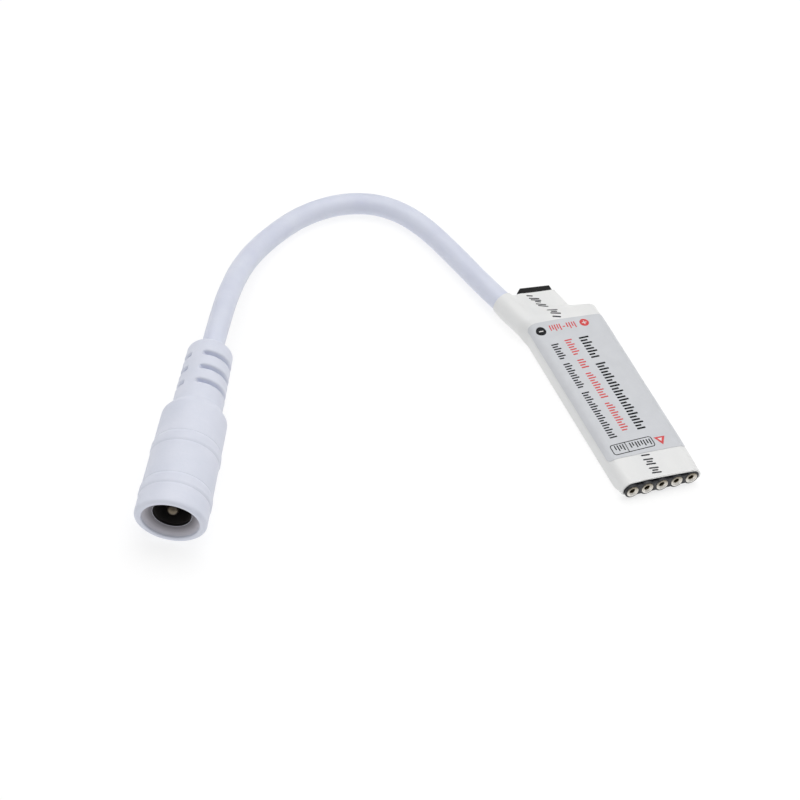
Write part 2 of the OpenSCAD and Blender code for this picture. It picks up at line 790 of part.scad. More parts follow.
module bias_resistors() {
  color([0.16, 0.16, 0.18])
    for (k = [-1 : 1])
      on_pads(column_x + k * column_step, bias_y)
        rotate(90)
          two_terminal(small_l, small_w, small_h);
}
coil_l = 2;
coil_w = 1.25;
coil_h = 0.8;
inductor_y = board_shoulder_y - board_bevel + coil_l / 2;
module matching_inductor() {
  color([0.35, 0.3, 0.28])
    on_pads(-tongue_shift, inductor_y)
      rotate(90)
        two_terminal(coil_l, coil_w, coil_h);
}

// Cores of the cable, from the jacket's end to their pads
core_r = core_d / 2;
core_z = pad_z + core_r + fit_gap;
core_sides = 8;
jacket_end = cable_route[route_end];
core_shift = [cos(entry_lean), sin(entry_lean), 0] * (core_r + fit_gap);
strip_y = supply_pad_y + supply_pad_len + core_r;
negative_x_shares = [0.3, 0.85, 1, 1];
negative_y_shares = [0.5, 0.75, 0.88, 1];
positive_x_shares = [0.25, 0.5, 0.78, 0.97, 1, 1];
positive_y_shares = [0.5, 0.57, 0.64, 0.76, 0.88, 1];
level_share = 0.85;
function lead_route(from, x, x_shares, y_shares) = concat(
  [from - fit_gap * unit(entry_run), from - core_d * unit(entry_run)],
  [for (k = [0 : len(x_shares) - 1])
    [mix(from.x, x, x_shares[k]), mix(from.y, strip_y, y_shares[k]),
     mix(from.z, core_z, clamp01(y_shares[k] / level_share))]]);
module positive_lead() {
  color([0.75, 0.12, 0.1])
    tube(lead_route(jacket_end + core_shift, lead_x(1), positive_x_shares, positive_y_shares),
      core_r, core_sides);
}
module negative_lead() {
  color([0.1, 0.1, 0.1])
    tube(lead_route(jacket_end - core_shift, lead_x(0), negative_x_shares, negative_y_shares),
      core_r, core_sides);
}
wire_r = wire_d / 2;
wire_z = pad_z + wire_r + 2 * fit_gap;
wire_run_shares = [0, 0.25, 0.65, 1];
wire_drop_shares = [0, 0, 0.5, 1];
module lead_conductors() {
  color([0.8, 0.8, 0.82])
    for (i = [0, 1])
      tube(concat(
        [for (k = [0 : len(wire_run_shares) - 1])
          [lead_x(i), strip_y - wire_run_shares[k] * core_d,
           mix(core_z, wire_z, wire_drop_shares[k])]],
        [[lead_x(i), supply_pad_y + wire_d, wire_z]]), wire_r, core_sides);
}
supply_bead_r = 1;
module lead_solder() {
  bead_y = supply_pad_y + supply_bead_r;
  color([0.75, 0.76, 0.78])
    for (i = [0, 1])
      difference() {
        intersection() {
          translate([lead_x(i), bead_y, pad_z])
            sphere(r = supply_bead_r);
          translate([lead_x(i) - supply_pad_w, bead_y - supply_pad_w, pad_z])
            cube([2 * supply_pad_w, 2 * supply_pad_w, 2 * supply_bead_r]);
        }
        translate([lead_x(i), supply_pad_y + wire_d - fit_gap, wire_z])
          rotate([-90, 0, 0])
            cylinder(d = wire_d + 2 * fit_gap, h = supply_pad_len);
      }
}

module supply_cable() {
  color([0.86, 0.88, 0.93])
    tube(cable_route, cable_r, cable_sides);
}

// Everything in the jack is drawn along +Z from the middle of its mouth
module in_jack() {
  translate(jack_origin)
    rotate([0, 90 - jack_tilt, jack_turn])
      children();
}
rim_round = 0.6;
rim_inner_round = 0.3;
band_bevel = 0.35;
band_place_shares = [0.155, 0.59];
round_steps = 6;
relief_y = jack_body_len + jack_shoulder_len;
relief_end = jack_len - relief_round_len;
mouth_r = jack_mouth_d / 2;
function body_r(t) = mix(mouth_r, jack_shoulder_d / 2, t / jack_body_len);
function band(t) = [
  [body_r(t), t], [body_r(t) + band_proud, t + band_bevel],
  [body_r(t + band_w) + band_proud, t + band_w - band_bevel], [body_r(t + band_w), t + band_w]
];
cable_bore_r = cable_r + cable_gap;
jack_outline = concat(
  [[0, recess_depth], [recess_d / 2, recess_depth]],
  [for (k = [0 : round_steps])
    let (a = 180 + 90 * k / round_steps)
      [recess_d / 2 + rim_inner_round * (1 + cos(a)), rim_inner_round * (1 + sin(a))]],
  [for (k = [0 : round_steps])
    let (a = 270 + 90 * k / round_steps)
      [mouth_r - rim_round * (1 - cos(a)), rim_round * (1 + sin(a))]],
  [for (s = band_place_shares) each band(s * jack_body_len)],
  [for (k = [0 : round_steps])
    let (s = k / round_steps)
      [mix(jack_shoulder_d, relief_thick_d, ease(s)) / 2, jack_body_len + s * jack_shoulder_len]],
  [for (k = [0 : round_steps])
    let (a = 90 * k / round_steps)
      [mix(cable_bore_r + rim_inner_round, relief_thin_d / 2, cos(a)),
       relief_end + relief_round_len * sin(a)]],
  [[0, jack_len]]
);
groove_count = 3;
groove_margin = 3;
groove_y = relief_y + groove_margin;
spine_turn = 150;
insert_face = recess_depth + lip_t;
insert_end = insert_face + insert_len;
shell_end = jack_len - norm(jack_run) + cable_r / 2;
inner_shell_t = 0.65;
inner_shell_r = (insert_d - inner_shell_t) / 2;
module jack_overmould() {
  color([0.86, 0.88, 0.93])
    in_jack()
      difference() {
        rotate_extrude()
          polygon(jack_outline);
        cylinder(d = lip_d, h = insert_face + cut);
        translate([0, 0, insert_face])
          cylinder(r = insert_d / 2 + fit_gap, h = insert_len + fit_gap);
        translate([0, 0, insert_end])
          cylinder(r = inner_shell_r + fit_gap, h = shell_end - insert_end + fit_gap);
        translate([0, 0, insert_end])
          cylinder(r = cable_bore_r, h = jack_len);
        for (k = [0 : groove_count - 1])
          translate([0, 0, groove_y + k * groove_pitch])
            difference() {
              cylinder(d = relief_thick_d + cut, h = groove_w);
              translate([0, 0, -cut])
                cylinder(r = relief_thin_d / 2 - groove_depth, h = groove_w + 2 * cut);
              rotate(spine_turn)
                translate([-relief_thick_d, -spine_w / 2, -cut])
                  cube([2 * relief_thick_d, spine_w, groove_w + 2 * cut]);
            }
      }
}

// Insert with the plug's hole, a slot for the spring leaf and a hole for the pin's stem
stem_d = 1.5;
barrel_end = insert_face + barrel_depth;
slot_front = 1.4;
slot_gap = 0.15;
slot_depth_share = 0.72;
leaf_root_x = 1.9;
leaf_wall_x = mix(barrel_d / 2, insert_d / 2, slot_depth_share);
module jack_insulator() {
  slot_w = leaf_w + 2 * slot_gap;
  color([0.07, 0.07, 0.08])
    in_jack()
      difference() {
        translate([0, 0, insert_face])
          cylinder(d = insert_d, h = insert_len);
        translate([0, 0, insert_face - cut])
          cylinder(d = barrel_d, h = barrel_depth + cut);
        cylinder(d = stem_d + 2 * fit_gap, h = insert_end + cut);
        translate([-leaf_wall_x - slot_gap, -slot_w / 2, insert_face + slot_front])
          cube([leaf_wall_x + slot_gap - leaf_root_x + leaf_t, slot_w, insert_len]);
      }
}
stem_out = 1.2;
tip_start = insert_face - pin_proud;
module jack_centre_pin() {
  color([0.8, 0.76, 0.66])
    in_jack() {
      translate([0, 0, tip_start + pin_d / 2])
        sphere(d = pin_d);
      translate([0, 0, tip_start + pin_d / 2])
        cylinder(d = pin_d, h = barrel_end - tip_start - pin_d / 2);
      translate([0, 0, barrel_end - cut])
        cylinder(d = stem_d, h = insert_end + stem_out - barrel_end + cut);
    }
}

// Spring leaf: its belly presses on the plug's barrel, its root is soldered behind the insert
leaf_seat_x = leaf_wall_x - leaf_t / 2;
leaf_belly_x = barrel_d / 2 - 2 * slot_gap;
leaf_out = 1.6;
leaf_tip_share = 0.18;
leaf_belly_share = 0.5;
leaf_foot_share = 0.85;
leaf_lift_share = 0.7;
leaf_path = [
  [mix(leaf_belly_x, leaf_seat_x, leaf_lift_share), insert_face + slot_front + leaf_tip_share * slot_front],
  [leaf_belly_x, mix(insert_face, barrel_end, leaf_belly_share)],
  [leaf_seat_x, mix(insert_face, barrel_end, leaf_foot_share)],
  [leaf_seat_x, insert_end - leaf_t],
  [leaf_root_x, insert_end + leaf_t],
  [leaf_root_x, insert_end + leaf_out]
];
module jack_spring_contact() {
  last = len(leaf_path) - 1;
  color([0.78, 0.64, 0.34])
    in_jack()
      rotate([90, 0, 0])
        translate([0, 0, -leaf_w / 2])
          linear_extrude(leaf_w)
            polygon(concat(
              [for (p = leaf_path) [-p.x - leaf_t / 2, p.y]],
              [for (k = [last : -1 : 0]) [-leaf_path[k].x + leaf_t / 2, leaf_path[k].y]]));
}

// Stiff shell that keeps the solder joints clear of the soft overmould
module jack_inner_shell() {
  color([0.8, 0.8, 0.82])
    in_jack()
      difference() {
        translate([0, 0, insert_end])
          cylinder(r = inner_shell_r, h = shell_end - insert_end);
        translate([0, 0, insert_end - cut])
          cylinder(r = inner_shell_r - inner_shell_t, h = shell_end - insert_end - inner_shell_t + cut);
        translate([0, 0, insert_end])
          cylinder(r = cable_bore_r, h = shell_end);
      }
}

// Cores in the jack, from the jacket's end to the pin's stem and the leaf's root
jack_bead_r = 0.7;
jacket_t = jack_len - norm(jack_run);
stem_end = insert_end + stem_out;
leaf_end = insert_end + leaf_out;
lead_bend_shares = [0, 0.5, 1, 1];
lead_run_shares = [0.2, 0.5, 0.8, 1];
function jack_lead(from_x, to_x, to_t) = concat([[from_x, 0, jacket_t - fit_gap]],
  [for (k = [0 : len(lead_run_shares) - 1])
    [mix(from_x, to_x, lead_bend_shares[k]), 0, mix(jacket_t, to_t, lead_run_shares[k])]]);
module jack_tube(route) {
  in_jack()
    rotate([0, 90, 0])
      tube([for (p = route) [-p.z, p.y, p.x]], core_r, core_sides);
}
module jack_positive_lead() {
  color([0.75, 0.12, 0.1])
    jack_tube(jack_lead(core_r + fit_gap, 0, stem_end + jack_bead_r));
}
module jack_negative_lead() {
  color([0.1, 0.1, 0.1])
    jack_tube(jack_lead(-core_r - fit_gap, -leaf_root_x, leaf_end + jack_bead_r));
}
module jack_solder() {
  color([0.75, 0.76, 0.78])
    in_jack() {
      difference() {
        translate([0, 0, stem_end])
          sphere(r = jack_bead_r);
        cylinder(d = stem_d + 2 * fit_gap, h = stem_end + fit_gap);
      }
      difference() {
        translate([-leaf_root_x, 0, leaf_end])
          sphere(r = jack_bead_r);
        translate([-leaf_root_x - leaf_t / 2 - fit_gap, -leaf_w, 0])
          cube([leaf_t + 2 * fit_gap, 2 * leaf_w, leaf_end + fit_gap]);
      }
    }
}

shrink_sleeve();
rating_label();
circuit_board();
board_pads();
antenna_trace();
header_housing();
contact_shells();
contact_clips();
output_solder();
output_transistors();
gate_resistors();
microcontroller();
radio_receiver();
crystal();
voltage_regulator();
input_capacitor();
regulator_capacitor();
bypass_capacitors();
bias_resistors();
matching_inductor();
positive_lead();
negative_lead();
lead_conductors();
lead_solder();
supply_cable();
jack_overmould();
jack_insulator();
jack_centre_pin();
jack_spring_contact();
jack_inner_shell();
jack_positive_lead();
jack_negative_lead();
jack_solder();
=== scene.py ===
"""Looks of the LED strip controller, in the frame of its CAD model.

Lengths are in millimetres until a mesh is made, as in part.scad.
"""
from math import asin, atan2, cos, degrees, dist, exp, hypot, pi, radians, sin, sqrt

import bmesh
import bpy
import numpy as np
from mathutils import Matrix, Vector
from mathutils.bvhtree import BVHTree


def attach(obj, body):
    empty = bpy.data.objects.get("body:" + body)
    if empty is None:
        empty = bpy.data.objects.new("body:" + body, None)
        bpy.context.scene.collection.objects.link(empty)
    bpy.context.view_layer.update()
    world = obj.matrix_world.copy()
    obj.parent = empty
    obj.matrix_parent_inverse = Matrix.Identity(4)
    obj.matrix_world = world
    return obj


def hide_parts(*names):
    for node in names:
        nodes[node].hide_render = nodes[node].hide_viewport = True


MM = 0.001

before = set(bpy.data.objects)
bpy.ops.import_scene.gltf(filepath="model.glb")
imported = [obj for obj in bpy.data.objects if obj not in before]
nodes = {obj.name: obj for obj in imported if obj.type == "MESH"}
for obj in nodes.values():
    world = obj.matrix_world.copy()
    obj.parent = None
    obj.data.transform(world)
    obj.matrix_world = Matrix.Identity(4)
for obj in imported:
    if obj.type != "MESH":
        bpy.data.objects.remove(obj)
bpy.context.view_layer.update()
scene = bpy.context.scene
scene.view_settings.view_transform = "Standard"


# Camera at the photograph's viewing angle
CAMERA_AZIMUTH = radians(-30.26)
CAMERA_ELEVATION = radians(45)
CAMERA_ROLL = radians(10)
CAMERA_DISTANCE = 498.07
CAMERA_TARGET = (-31.14, 8.34, 0)
CAMERA_SENSOR, CAMERA_LENS = 36, 144
CAMERA_CLIP = (0.01, 20)


def add_camera():
    ca, sa = cos(CAMERA_AZIMUTH), sin(CAMERA_AZIMUTH)
    ce, se = cos(CAMERA_ELEVATION), sin(CAMERA_ELEVATION)
    forward = Vector((-sa * ce, ca * ce, -se))
    right = Vector((ca, sa, 0))
    up = right.cross(forward)
    cr, sr = cos(CAMERA_ROLL), sin(CAMERA_ROLL)
    axis_x = right * cr + up * sr
    axis_y = up * cr - right * sr
    turn = Matrix((axis_x, axis_y, -forward)).transposed().to_4x4()
    data = bpy.data.cameras.new("camera")
    data.sensor_width = CAMERA_SENSOR
    data.lens = CAMERA_LENS
    data.clip_start, data.clip_end = CAMERA_CLIP
    camera = bpy.data.objects.new("camera", data)
    place = (Vector(CAMERA_TARGET) - forward * CAMERA_DISTANCE) * MM
    camera.matrix_world = Matrix.Translation(place) @ turn
    scene.collection.objects.link(camera)
    scene.camera = camera


add_camera()


# Materials
def srgb(r, g, b):
    """Linear values of an sRGB colour given as 0 to 255."""
    shares = (r / 255, g / 255, b / 255)
    return tuple(c / 12.92 if c < 0.04045 else ((c + 0.055) / 1.055) ** 2.4 for c in shares)


def put(node, **values):
    """Sets inputs of a node; an underscore stands for a space in a name."""
    for name, value in values.items():
        node.inputs[name.replace("_", " ")].default_value = value


class Nodes:
    """A material's node tree with its shader, and short ways to add nodes."""

    def __init__(self, name):
        self.material = bpy.data.materials.new(name)
        self.material.use_nodes = True
        self.tree = self.material.node_tree
        self.shader = self.tree.nodes["Principled BSDF"]
        self.coords = self.tree.nodes.new("ShaderNodeTexCoord").outputs["Object"]

    def link(self, a, b):
        self.tree.links.new(a, b)

    def noise(self, scale, detail, rough=0.55, stretch=None):
        node = self.tree.nodes.new("ShaderNodeTexNoise")
        put(node, Scale=scale, Detail=detail, Roughness=rough)
        source = self.coords
        if stretch is not None:
            mapping = self.tree.nodes.new("ShaderNodeMapping")
            put(mapping, Scale=stretch)
            self.link(source, mapping.inputs["Vector"])
            source = mapping.outputs["Vector"]
        self.link(source, node.inputs["Vector"])
        return node.outputs["Fac"]

    def ramp(self, source, stops):
        node = self.tree.nodes.new("ShaderNodeValToRGB")
        band = node.color_ramp
        while len(band.elements) < len(stops):
            band.elements.new(0.5)
        for element, (place, colour) in zip(band.elements, stops):
            element.position = place
            element.color = (*colour, 1)
        self.link(source, node.inputs["Fac"])
        return node.outputs["Color"]

    def spread(self, source, low, high, start=0.25, end=0.75):
        node = self.tree.nodes.new("ShaderNodeMapRange")
        put(node, From_Min=start, From_Max=end, To_Min=low, To_Max=high)
        self.link(source, node.inputs["Value"])
        return node.outputs["Result"]

    def bump(self, source, height, after=None):
        node = self.tree.nodes.new("ShaderNodeBump")
        put(node, Strength=1.0, Distance=height)
        self.link(source, node.inputs["Height"])
        if after is not None:
            self.link(after, node.inputs["Normal"])
        return node.outputs["Normal"]

    def height(self):
        """Height in the frame."""
        parts = self.tree.nodes.new("ShaderNodeSeparateXYZ")
        self.link(self.coords, parts.inputs["Vector"])
        return parts.outputs["Z"]

    def from_axis(self, place, direction):
        """Distance from the line through a place along a direction of length one."""
        source = self.coords
        for operation, value in (("SUBTRACT", place), ("CROSS_PRODUCT", direction), ("LENGTH", None)):
            step = self.tree.nodes.new("ShaderNodeVectorMath")
            step.operation = operation
            self.link(source, step.inputs[0])
            if value is not None:
                step.inputs[1].default_value = tuple(value)
            source = step.outputs["Value" if operation == "LENGTH" else "Vector"]
        return source


PLAIN_PATCH = 220.0
SOFT_RADIUS, SOFT_SCALE = (1.0, 0.9, 0.85), 0.0012


def moulded(name, dark, light, rough, grain, depth, metallic=0.0, patch=PLAIN_PATCH, soft=0.0, stretch=None,
            specular=0.5):
    """A surface with drifting colour, uneven gloss and a fine grain."""
    m = Nodes(name)
    drift = m.noise(patch, 4, stretch=stretch)
    m.link(m.ramp(drift, [(0.3, srgb(*dark)), (0.7, srgb(*light))]), m.shader.inputs["Base Color"])
    uneven = m.noise(patch * 2.3, 3, stretch=stretch)
    m.link(m.spread(uneven, *rough), m.shader.inputs["Roughness"])
    coarse = m.bump(m.noise(grain * 0.25, 3, stretch=stretch), depth * 2)
    fine = m.bump(m.noise(grain, 2, 0.6, stretch=stretch), depth, after=coarse)
    m.link(fine, m.shader.inputs["Normal"])
    put(m.shader, Metallic=metallic, Specular_IOR_Level=specular)
    if soft:
        put(m.shader, Subsurface_Weight=soft, Subsurface_Radius=SOFT_RADIUS, Subsurface_Scale=SOFT_SCALE)
    return m.material


def painted_shading(m, distance, painted_tones, rough, grain, depth):
    """A surface whose colour follows a distance, to paint light and shade; its tones are pairs of a distance and a
    colour.
    """
    first, last = painted_tones[0][0], painted_tones[-1][0]
    share = m.spread(distance, 0.0, 1.0, first * MM, last * MM)
    stops = [((place - first) / (last - first), srgb(*colour)) for place, colour in painted_tones]
    m.link(m.ramp(share, stops), m.shader.inputs["Base Color"])
    m.link(m.spread(m.noise(500, 3), *rough), m.shader.inputs["Roughness"])
    m.link(m.bump(m.noise(grain, 2), depth), m.shader.inputs["Normal"])
    return m.material


# Dark and light colour, roughness, the grain's scale and depth, and what else isn't plain
METAL = {"metallic": 1}
INK = {"patch": 1400}
DULL_INK = {"patch": 1400, "specular": 0.2}
FINISHES = {
    "cable_white": ((214, 218, 234), (222, 226, 239), (0.38, 0.5), 9000, 6e-6, {"soft": 0.1}),
    "jack_white": ((219, 223, 236), (226, 229, 241), (0.46, 0.58), 7000, 9e-6, {}),
    "sleeve_film": ((231, 232, 232), (239, 239, 238), (0.34, 0.46), 5200, 1.2e-5,
                    {"patch": 160, "stretch": (1, 0.35, 1)}),
    "label_face": ((208, 210, 214), (213, 215, 219), (0.42, 0.5), 16000, 4e-6, {"patch": 500}),
    "board_mask": ((22, 22, 23), (34, 34, 35), (0.5, 0.64), 9000, 6e-6, {"specular": 0.2}),
    "copper_gold": ((196, 150, 74), (226, 184, 104), (0.25, 0.4), 8000, 4e-6, METAL),
    "header_black": ((22, 22, 26), (40, 40, 46), (0.36, 0.52), 8000, 1e-5, {}),
    # Painted shade: the clips' gold is coloured dark, for the shade inside the contacts
    "gold_clip": ((78, 70, 52), (112, 101, 76), (0.3, 0.48), 9000, 6e-6, METAL),
    "solder_tin": ((180, 182, 186), (222, 224, 226), (0.22, 0.4), 5000, 1.4e-5, METAL),
    "chip_black": ((30, 30, 32), (44, 44, 46), (0.5, 0.66), 14000, 1e-5, {}),
    "resistor_film": ((34, 34, 40), (50, 50, 58), (0.24, 0.4), 9000, 5e-6, {}),
    "ceramic_tan": ((168, 132, 92), (190, 154, 112), (0.4, 0.55), 9000, 8e-6, {}),
    "coil_grey": ((86, 78, 72), (104, 96, 90), (0.5, 0.65), 9000, 1e-5, {}),
    "can_steel": ((196, 196, 200), (224, 224, 226), (0.2, 0.34), 6000, 4e-6, {**METAL, "stretch": (1, 6, 1)}),
    "core_red": ((176, 26, 24), (196, 38, 34), (0.4, 0.52), 9000, 6e-6, {}),
    "core_black": ((24, 24, 26), (36, 36, 38), (0.4, 0.52), 9000, 6e-6, {}),
    "tinned_wire": ((196, 196, 200), (228, 228, 230), (0.25, 0.4), 7000, 8e-6, METAL),
    "insert_black": ((52, 50, 49), (66, 63, 62), (0.34, 0.48), 8000, 7e-6, {}),
    # Painted shade: the centre pin's nickel is coloured dark, for the shade deep in the jack's hole
    "pin_nickel": ((92, 84, 72), (122, 112, 98), (0.26, 0.4), 9000, 5e-6, METAL),
    "leaf_brass": ((190, 152, 84), (220, 184, 112), (0.22, 0.36), 7000, 5e-6, METAL),
    "inner_grey": ((196, 196, 200), (210, 210, 214), (0.45, 0.6), 8000, 8e-6, {}),
    "ink_black": ((14, 15, 18), (28, 30, 34), (0.5, 0.62), 16000, 4e-6, DULL_INK),
    "ink_grey": ((52, 52, 55), (72, 72, 75), (0.5, 0.62), 16000, 4e-6, DULL_INK),
    "ink_red": ((208, 58, 60), (224, 80, 80), (0.4, 0.52), 16000, 4e-6, INK),
    "ink_pale": ((226, 222, 222), (236, 232, 232), (0.42, 0.5), 16000, 4e-6, INK),
}
MATERIALS = {name: moulded(name, *finish[:5], **finish[5]) for name, finish in FINISHES.items()}

# Painted light and shade: the contacts' tinned metal is coloured brighter on their lower side and darker on their
# upper side
CONTACT_PAINTED_LIGHT = [(0.8, (255, 253, 248)), (1.4, (240, 235, 226)), (2.4, (158, 149, 132))]
tinned = Nodes("tinned_contact")
put(tinned.shader, Metallic=0.3)
MATERIALS["tinned_contact"] = painted_shading(tinned, tinned.height(), CONTACT_PAINTED_LIGHT, (0.2, 0.34), 12000, 4e-6)


# Making pieces
def new_piece(name, mesh, material, crease, replaced=()):
    """A visible piece of the frame. Its slot is named like its material."""
    mesh.name = name
    mesh.validate()
    mesh.update()
    for polygon in mesh.polygons:
        polygon.use_smooth = True
    mesh.set_sharp_from_angle(angle=radians(crease))
    piece = bpy.data.objects.new(name, mesh)
    scene.collection.objects.link(piece)
    mesh.materials.append(MATERIALS[material])
    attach(piece, "root")
    if replaced:
        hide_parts(*replaced)
    return piece


def mesh_from(points, faces):
    mesh = bpy.data.meshes.new("mesh")
    mesh.from_pydata((np.asarray(points, float) * MM).tolist(), [], faces)
    return mesh


def mesh_of(bm):
    mesh = bpy.data.meshes.new("mesh")
    bm.to_mesh(mesh)
    bm.free()
    return mesh


def ring_faces(rows, count, closed_rows=False, start=0):
    """Quads of a grid whose columns wrap round."""
    faces = []
    for i in range(rows if closed_rows else rows - 1):
        a, b = start + i * count, start + ((i + 1) % rows) * count
        for j in range(count):
            k = (j + 1) % count
            faces.append((a + j, a + k, b + k, b + j))
    return faces


def grid_faces(rows, wide, start=0, flip=False):
    """Quads of an open grid."""
    corners = [start + i * wide + j for i in range(rows - 1) for j in range(wide - 1)]
    return [(a, a + wide, a + wide + 1, a + 1) if flip else (a, a + 1, a + wide + 1, a + wide) for a in corners]


def mix(a, b, s):
    return a + (b - a) * s


def ease(s):
    s = min(1.0, max(0.0, s))
    return s * s * (3 - 2 * s)


# Cable, along the route of part.scad
CABLE_ROUTE = [
    (-66.85, 6.3, 7.07), (-63.1, 12.61, 7.71), (-59.3, 19, 8.35), (-55, 25.8, 8.6),
    (-52.5, 29.8, 7.8), (-49.9, 33.7, 6.4), (-47.2, 37.5, 5), (-44.2, 41.1, 3.6),
    (-40.8, 44.4, 2.5), (-36.9, 47.2, 1.9), (-32.6, 49.4, 1.8), (-27.9, 50.7, 1.8),
    (-23.1, 50.9, 1.8), (-18.4, 49.5, 1.8), (-14.9, 46.4, 1.8), (-12.6, 42.1, 1.8),
    (-11.2, 37.5, 1.8), (-10.1, 32.7, 1.9), (-9.1, 28, 2), (-8, 23.5, 2.1),
    (-6.05, 16.6, 2.1),
]
CABLE_EXIT = 19
CABLE_R = 1.75
CABLE_STEPS, CABLE_SIDES, CABLE_EASING, CABLE_CREASE = 8, 40, 12, 60


def smooth_path(points, steps):
    """A Catmull-Rom line through the points, with that many steps between each pair."""
    p = [np.array(q, float) for q in points]
    p = [2 * p[0] - p[1], *p, 2 * p[-1] - p[-2]]
    line = []
    for i in range(1, len(p) - 2):
        for k in range(steps):
            u = k / steps
            line.append(0.5 * (2 * p[i] + (p[i + 1] - p[i - 1]) * u
                               + (2 * p[i - 1] - 5 * p[i] + 4 * p[i + 1] - p[i + 2]) * u * u
                               + (3 * p[i] - p[i - 1] - 3 * p[i + 1] + p[i + 2]) * u ** 3))
    line.append(p[-2])
    return np.array(line)


def relaxed(line, rounds):
    """The line with its kinks eased; its ends stay."""
    for _ in range(rounds):
        line = np.vstack([line[:1], (line[:-2] + 2 * line[1:-1] + line[2:]) / 4, line[-1:]])
    return line


def sweep(line, radius, sides):
    """Points and faces of a round tube along a line, with capped ends."""
    ahead = np.gradient(line, axis=0)
    ahead /= np.linalg.norm(ahead, axis=1)[:, None]
    side = np.cross(ahead, (0, 0, 1))
    side /= np.linalg.norm(side, axis=1)[:, None]
    rise = np.cross(side, ahead)
    turn = np.arange(sides) * 2 * pi / sides
    circle = np.cos(turn)[None, :, None] * side[:, None] + np.sin(turn)[None, :, None] * rise[:, None]
    points = (line[:, None] + radius * circle).reshape(-1, 3)
    faces = ring_faces(len(line), sides)
    faces.append(tuple(range(sides))[::-1])
    faces.append(tuple(range((len(line) - 1) * sides, len(line) * sides)))
    return points, faces


cable_line = relaxed(smooth_path(CABLE_ROUTE, CABLE_STEPS), CABLE_EASING)
cable = new_piece("cable_jacket", mesh_from(*sweep(cable_line, CABLE_R, CABLE_SIDES)), "cable_white", CABLE_CREASE,
                  ["supply_cable"])


# Jack, drawn along +t from the middle of its mouth
JACK_LEN = 33.35
jack_run = np.array(CABLE_ROUTE[2]) - np.array(CABLE_ROUTE[0])
jack_dir = jack_run / np.linalg.norm(jack_run)
jack_origin = np.array(CABLE_ROUTE[2]) - JACK_LEN * jack_dir
jack_down = np.array((jack_dir[0], jack_dir[1], 0))
jack_down = jack_down * jack_dir[2] / np.linalg.norm(jack_down) - np.array((0, 0, hypot(*jack_dir[:2])))
jack_side = np.cross(jack_dir, jack_down)


def in_jack(local):
    """Points across the jack and along its axis, in the frame of the model."""
    local = np.asarray(local, float)
    return jack_origin + local[:, :1] * jack_down + local[:, 1:2] * jack_side + local[:, 2:] * jack_dir


# Outside, from the mouth to the strain relief's round end
MOUTH_R, SHOULDER_R = 5.5, 5.03
BODY_LEN, SHOULDER_LEN = 19.0, 1.9
RELIEF_THICK_R, RELIEF_THIN_R, ROUND_LEN, ROUND_END_R = 3.88, 3.52, 1.1, CABLE_R + 0.3
RELIEF_T = BODY_LEN + SHOULDER_LEN
RELIEF_END = JACK_LEN - ROUND_LEN
BAND_W, BAND_PROUD, BAND_SLOPE, BAND_SHARES = 2.0, 0.13, 0.45, (0.155, 0.59)
BAND_LINE, BAND_LINE_PLACE, BAND_LINE_W = 0.05, -0.03, 0.09
GROOVE_W, GROOVE_DEPTH, GROOVE_PITCH, GROOVE_COUNT = 0.65, 1.2, 2.85, 3
GROOVE_T = RELIEF_T + 3
SPINE_W, SPINE_TURN, SPINE_COUNT, SPINE_EDGE, SPINE_FADE = 2.1, 150, 2, 1.5, 9
# Inside: the recess, the hole's lip, the insert's seat and the inner shell's chamber
RECESS_R, RECESS_DEPTH, RECESS_FLOOR, RECESS_RISE, RECESS_STEPS = 4.35, 1.3, 0.03, 0.95, 14
LIP_R, LIP_W, INSERT_FACE, INSERT_R, INSERT_END = 2.95, 0.1, 1.8, 4.07, 12.3
SHELL_R, SHELL_END = 3.745, JACK_LEN - np.linalg.norm(jack_run) + CABLE_R / 2
RIM_INNER_R, RIM_INNER_STEPS, RIM_OUTER_R, RIM_OUTER_STEPS = 0.27, 8, 0.6, 10
# The mouth's turn: its way forward and slope, how far back it fades, and how it grows from the hole
MOUTH_FORWARD, MOUTH_TURN, MOUTH_FADE, TURN_POWER = 0.3, 0.11, 2.7, 0.8
# Rows of the mesh: step, those about a band's edge, a groove's wall as distance and share of depth
ROW_STEP, ROUND_STEPS = 0.3, 14
EDGE_CLEAR, GROOVE_CLEAR = 0.55, 0.12
EDGE_ROWS = (-0.5, -0.3, -0.2, -0.14, -0.09, -0.05, 0, 0.05, 0.09, 0.14, 0.2, 0.3, 0.45)
GROOVE_WALL = ((-0.5, -0.012), (-0.36, -0.03), (-0.24, -0.01), (-0.14, 0.045), (-0.07, 0.12), (-0.02, 0.24),
               (0.015, 0.44), (0.04, 0.68), (0.07, 0.86), (0.12, 0.96), (0.2, 1.0), (0.3, 1.0))
LIP_ROWS = ((INSERT_FACE, LIP_R + 0.55), (RECESS_DEPTH + 0.07, LIP_R + 0.06), (RECESS_DEPTH + 0.02, LIP_R),
            (RECESS_DEPTH - 0.02, LIP_R + 0.02))
INSIDE_ROWS = ((JACK_LEN, CABLE_R + 0.12), (JACK_LEN - 0.05, CABLE_R + 0.03), (JACK_LEN - 0.3, CABLE_R + 0.02),
               (SHELL_END + 0.02, CABLE_R + 0.02), (SHELL_END + 0.02, SHELL_R), (INSERT_END, SHELL_R),
               (INSERT_END, INSERT_R), (INSERT_FACE, INSERT_R))
# The recess's sheet of painted shade: how far out of and in the moulding, its rows in the hole, its painted shade
# by radius
SHADE_SHEET_OUT, SHADE_SHEET_IN = 0.025, 0.04
SHADE_SHEET_EDGE = [(RECESS_DEPTH + 0.1, LIP_R - 0.02, 0), (RECESS_DEPTH + 0.04, LIP_R - 0.02, 0)]
RECESS_PAINTED_SHADE_TONES = [(2.95, (104, 101, 106)), (3.4, (126, 123, 129)), (3.85, (168, 165, 172)), (4.15, (204, 202, 210)),
                 (4.33, (226, 225, 234))]
JACK_SIDES, JACK_CREASE = 160, 50
JACK_TURNS = [360 * j / JACK_SIDES for j in range(JACK_SIDES)]


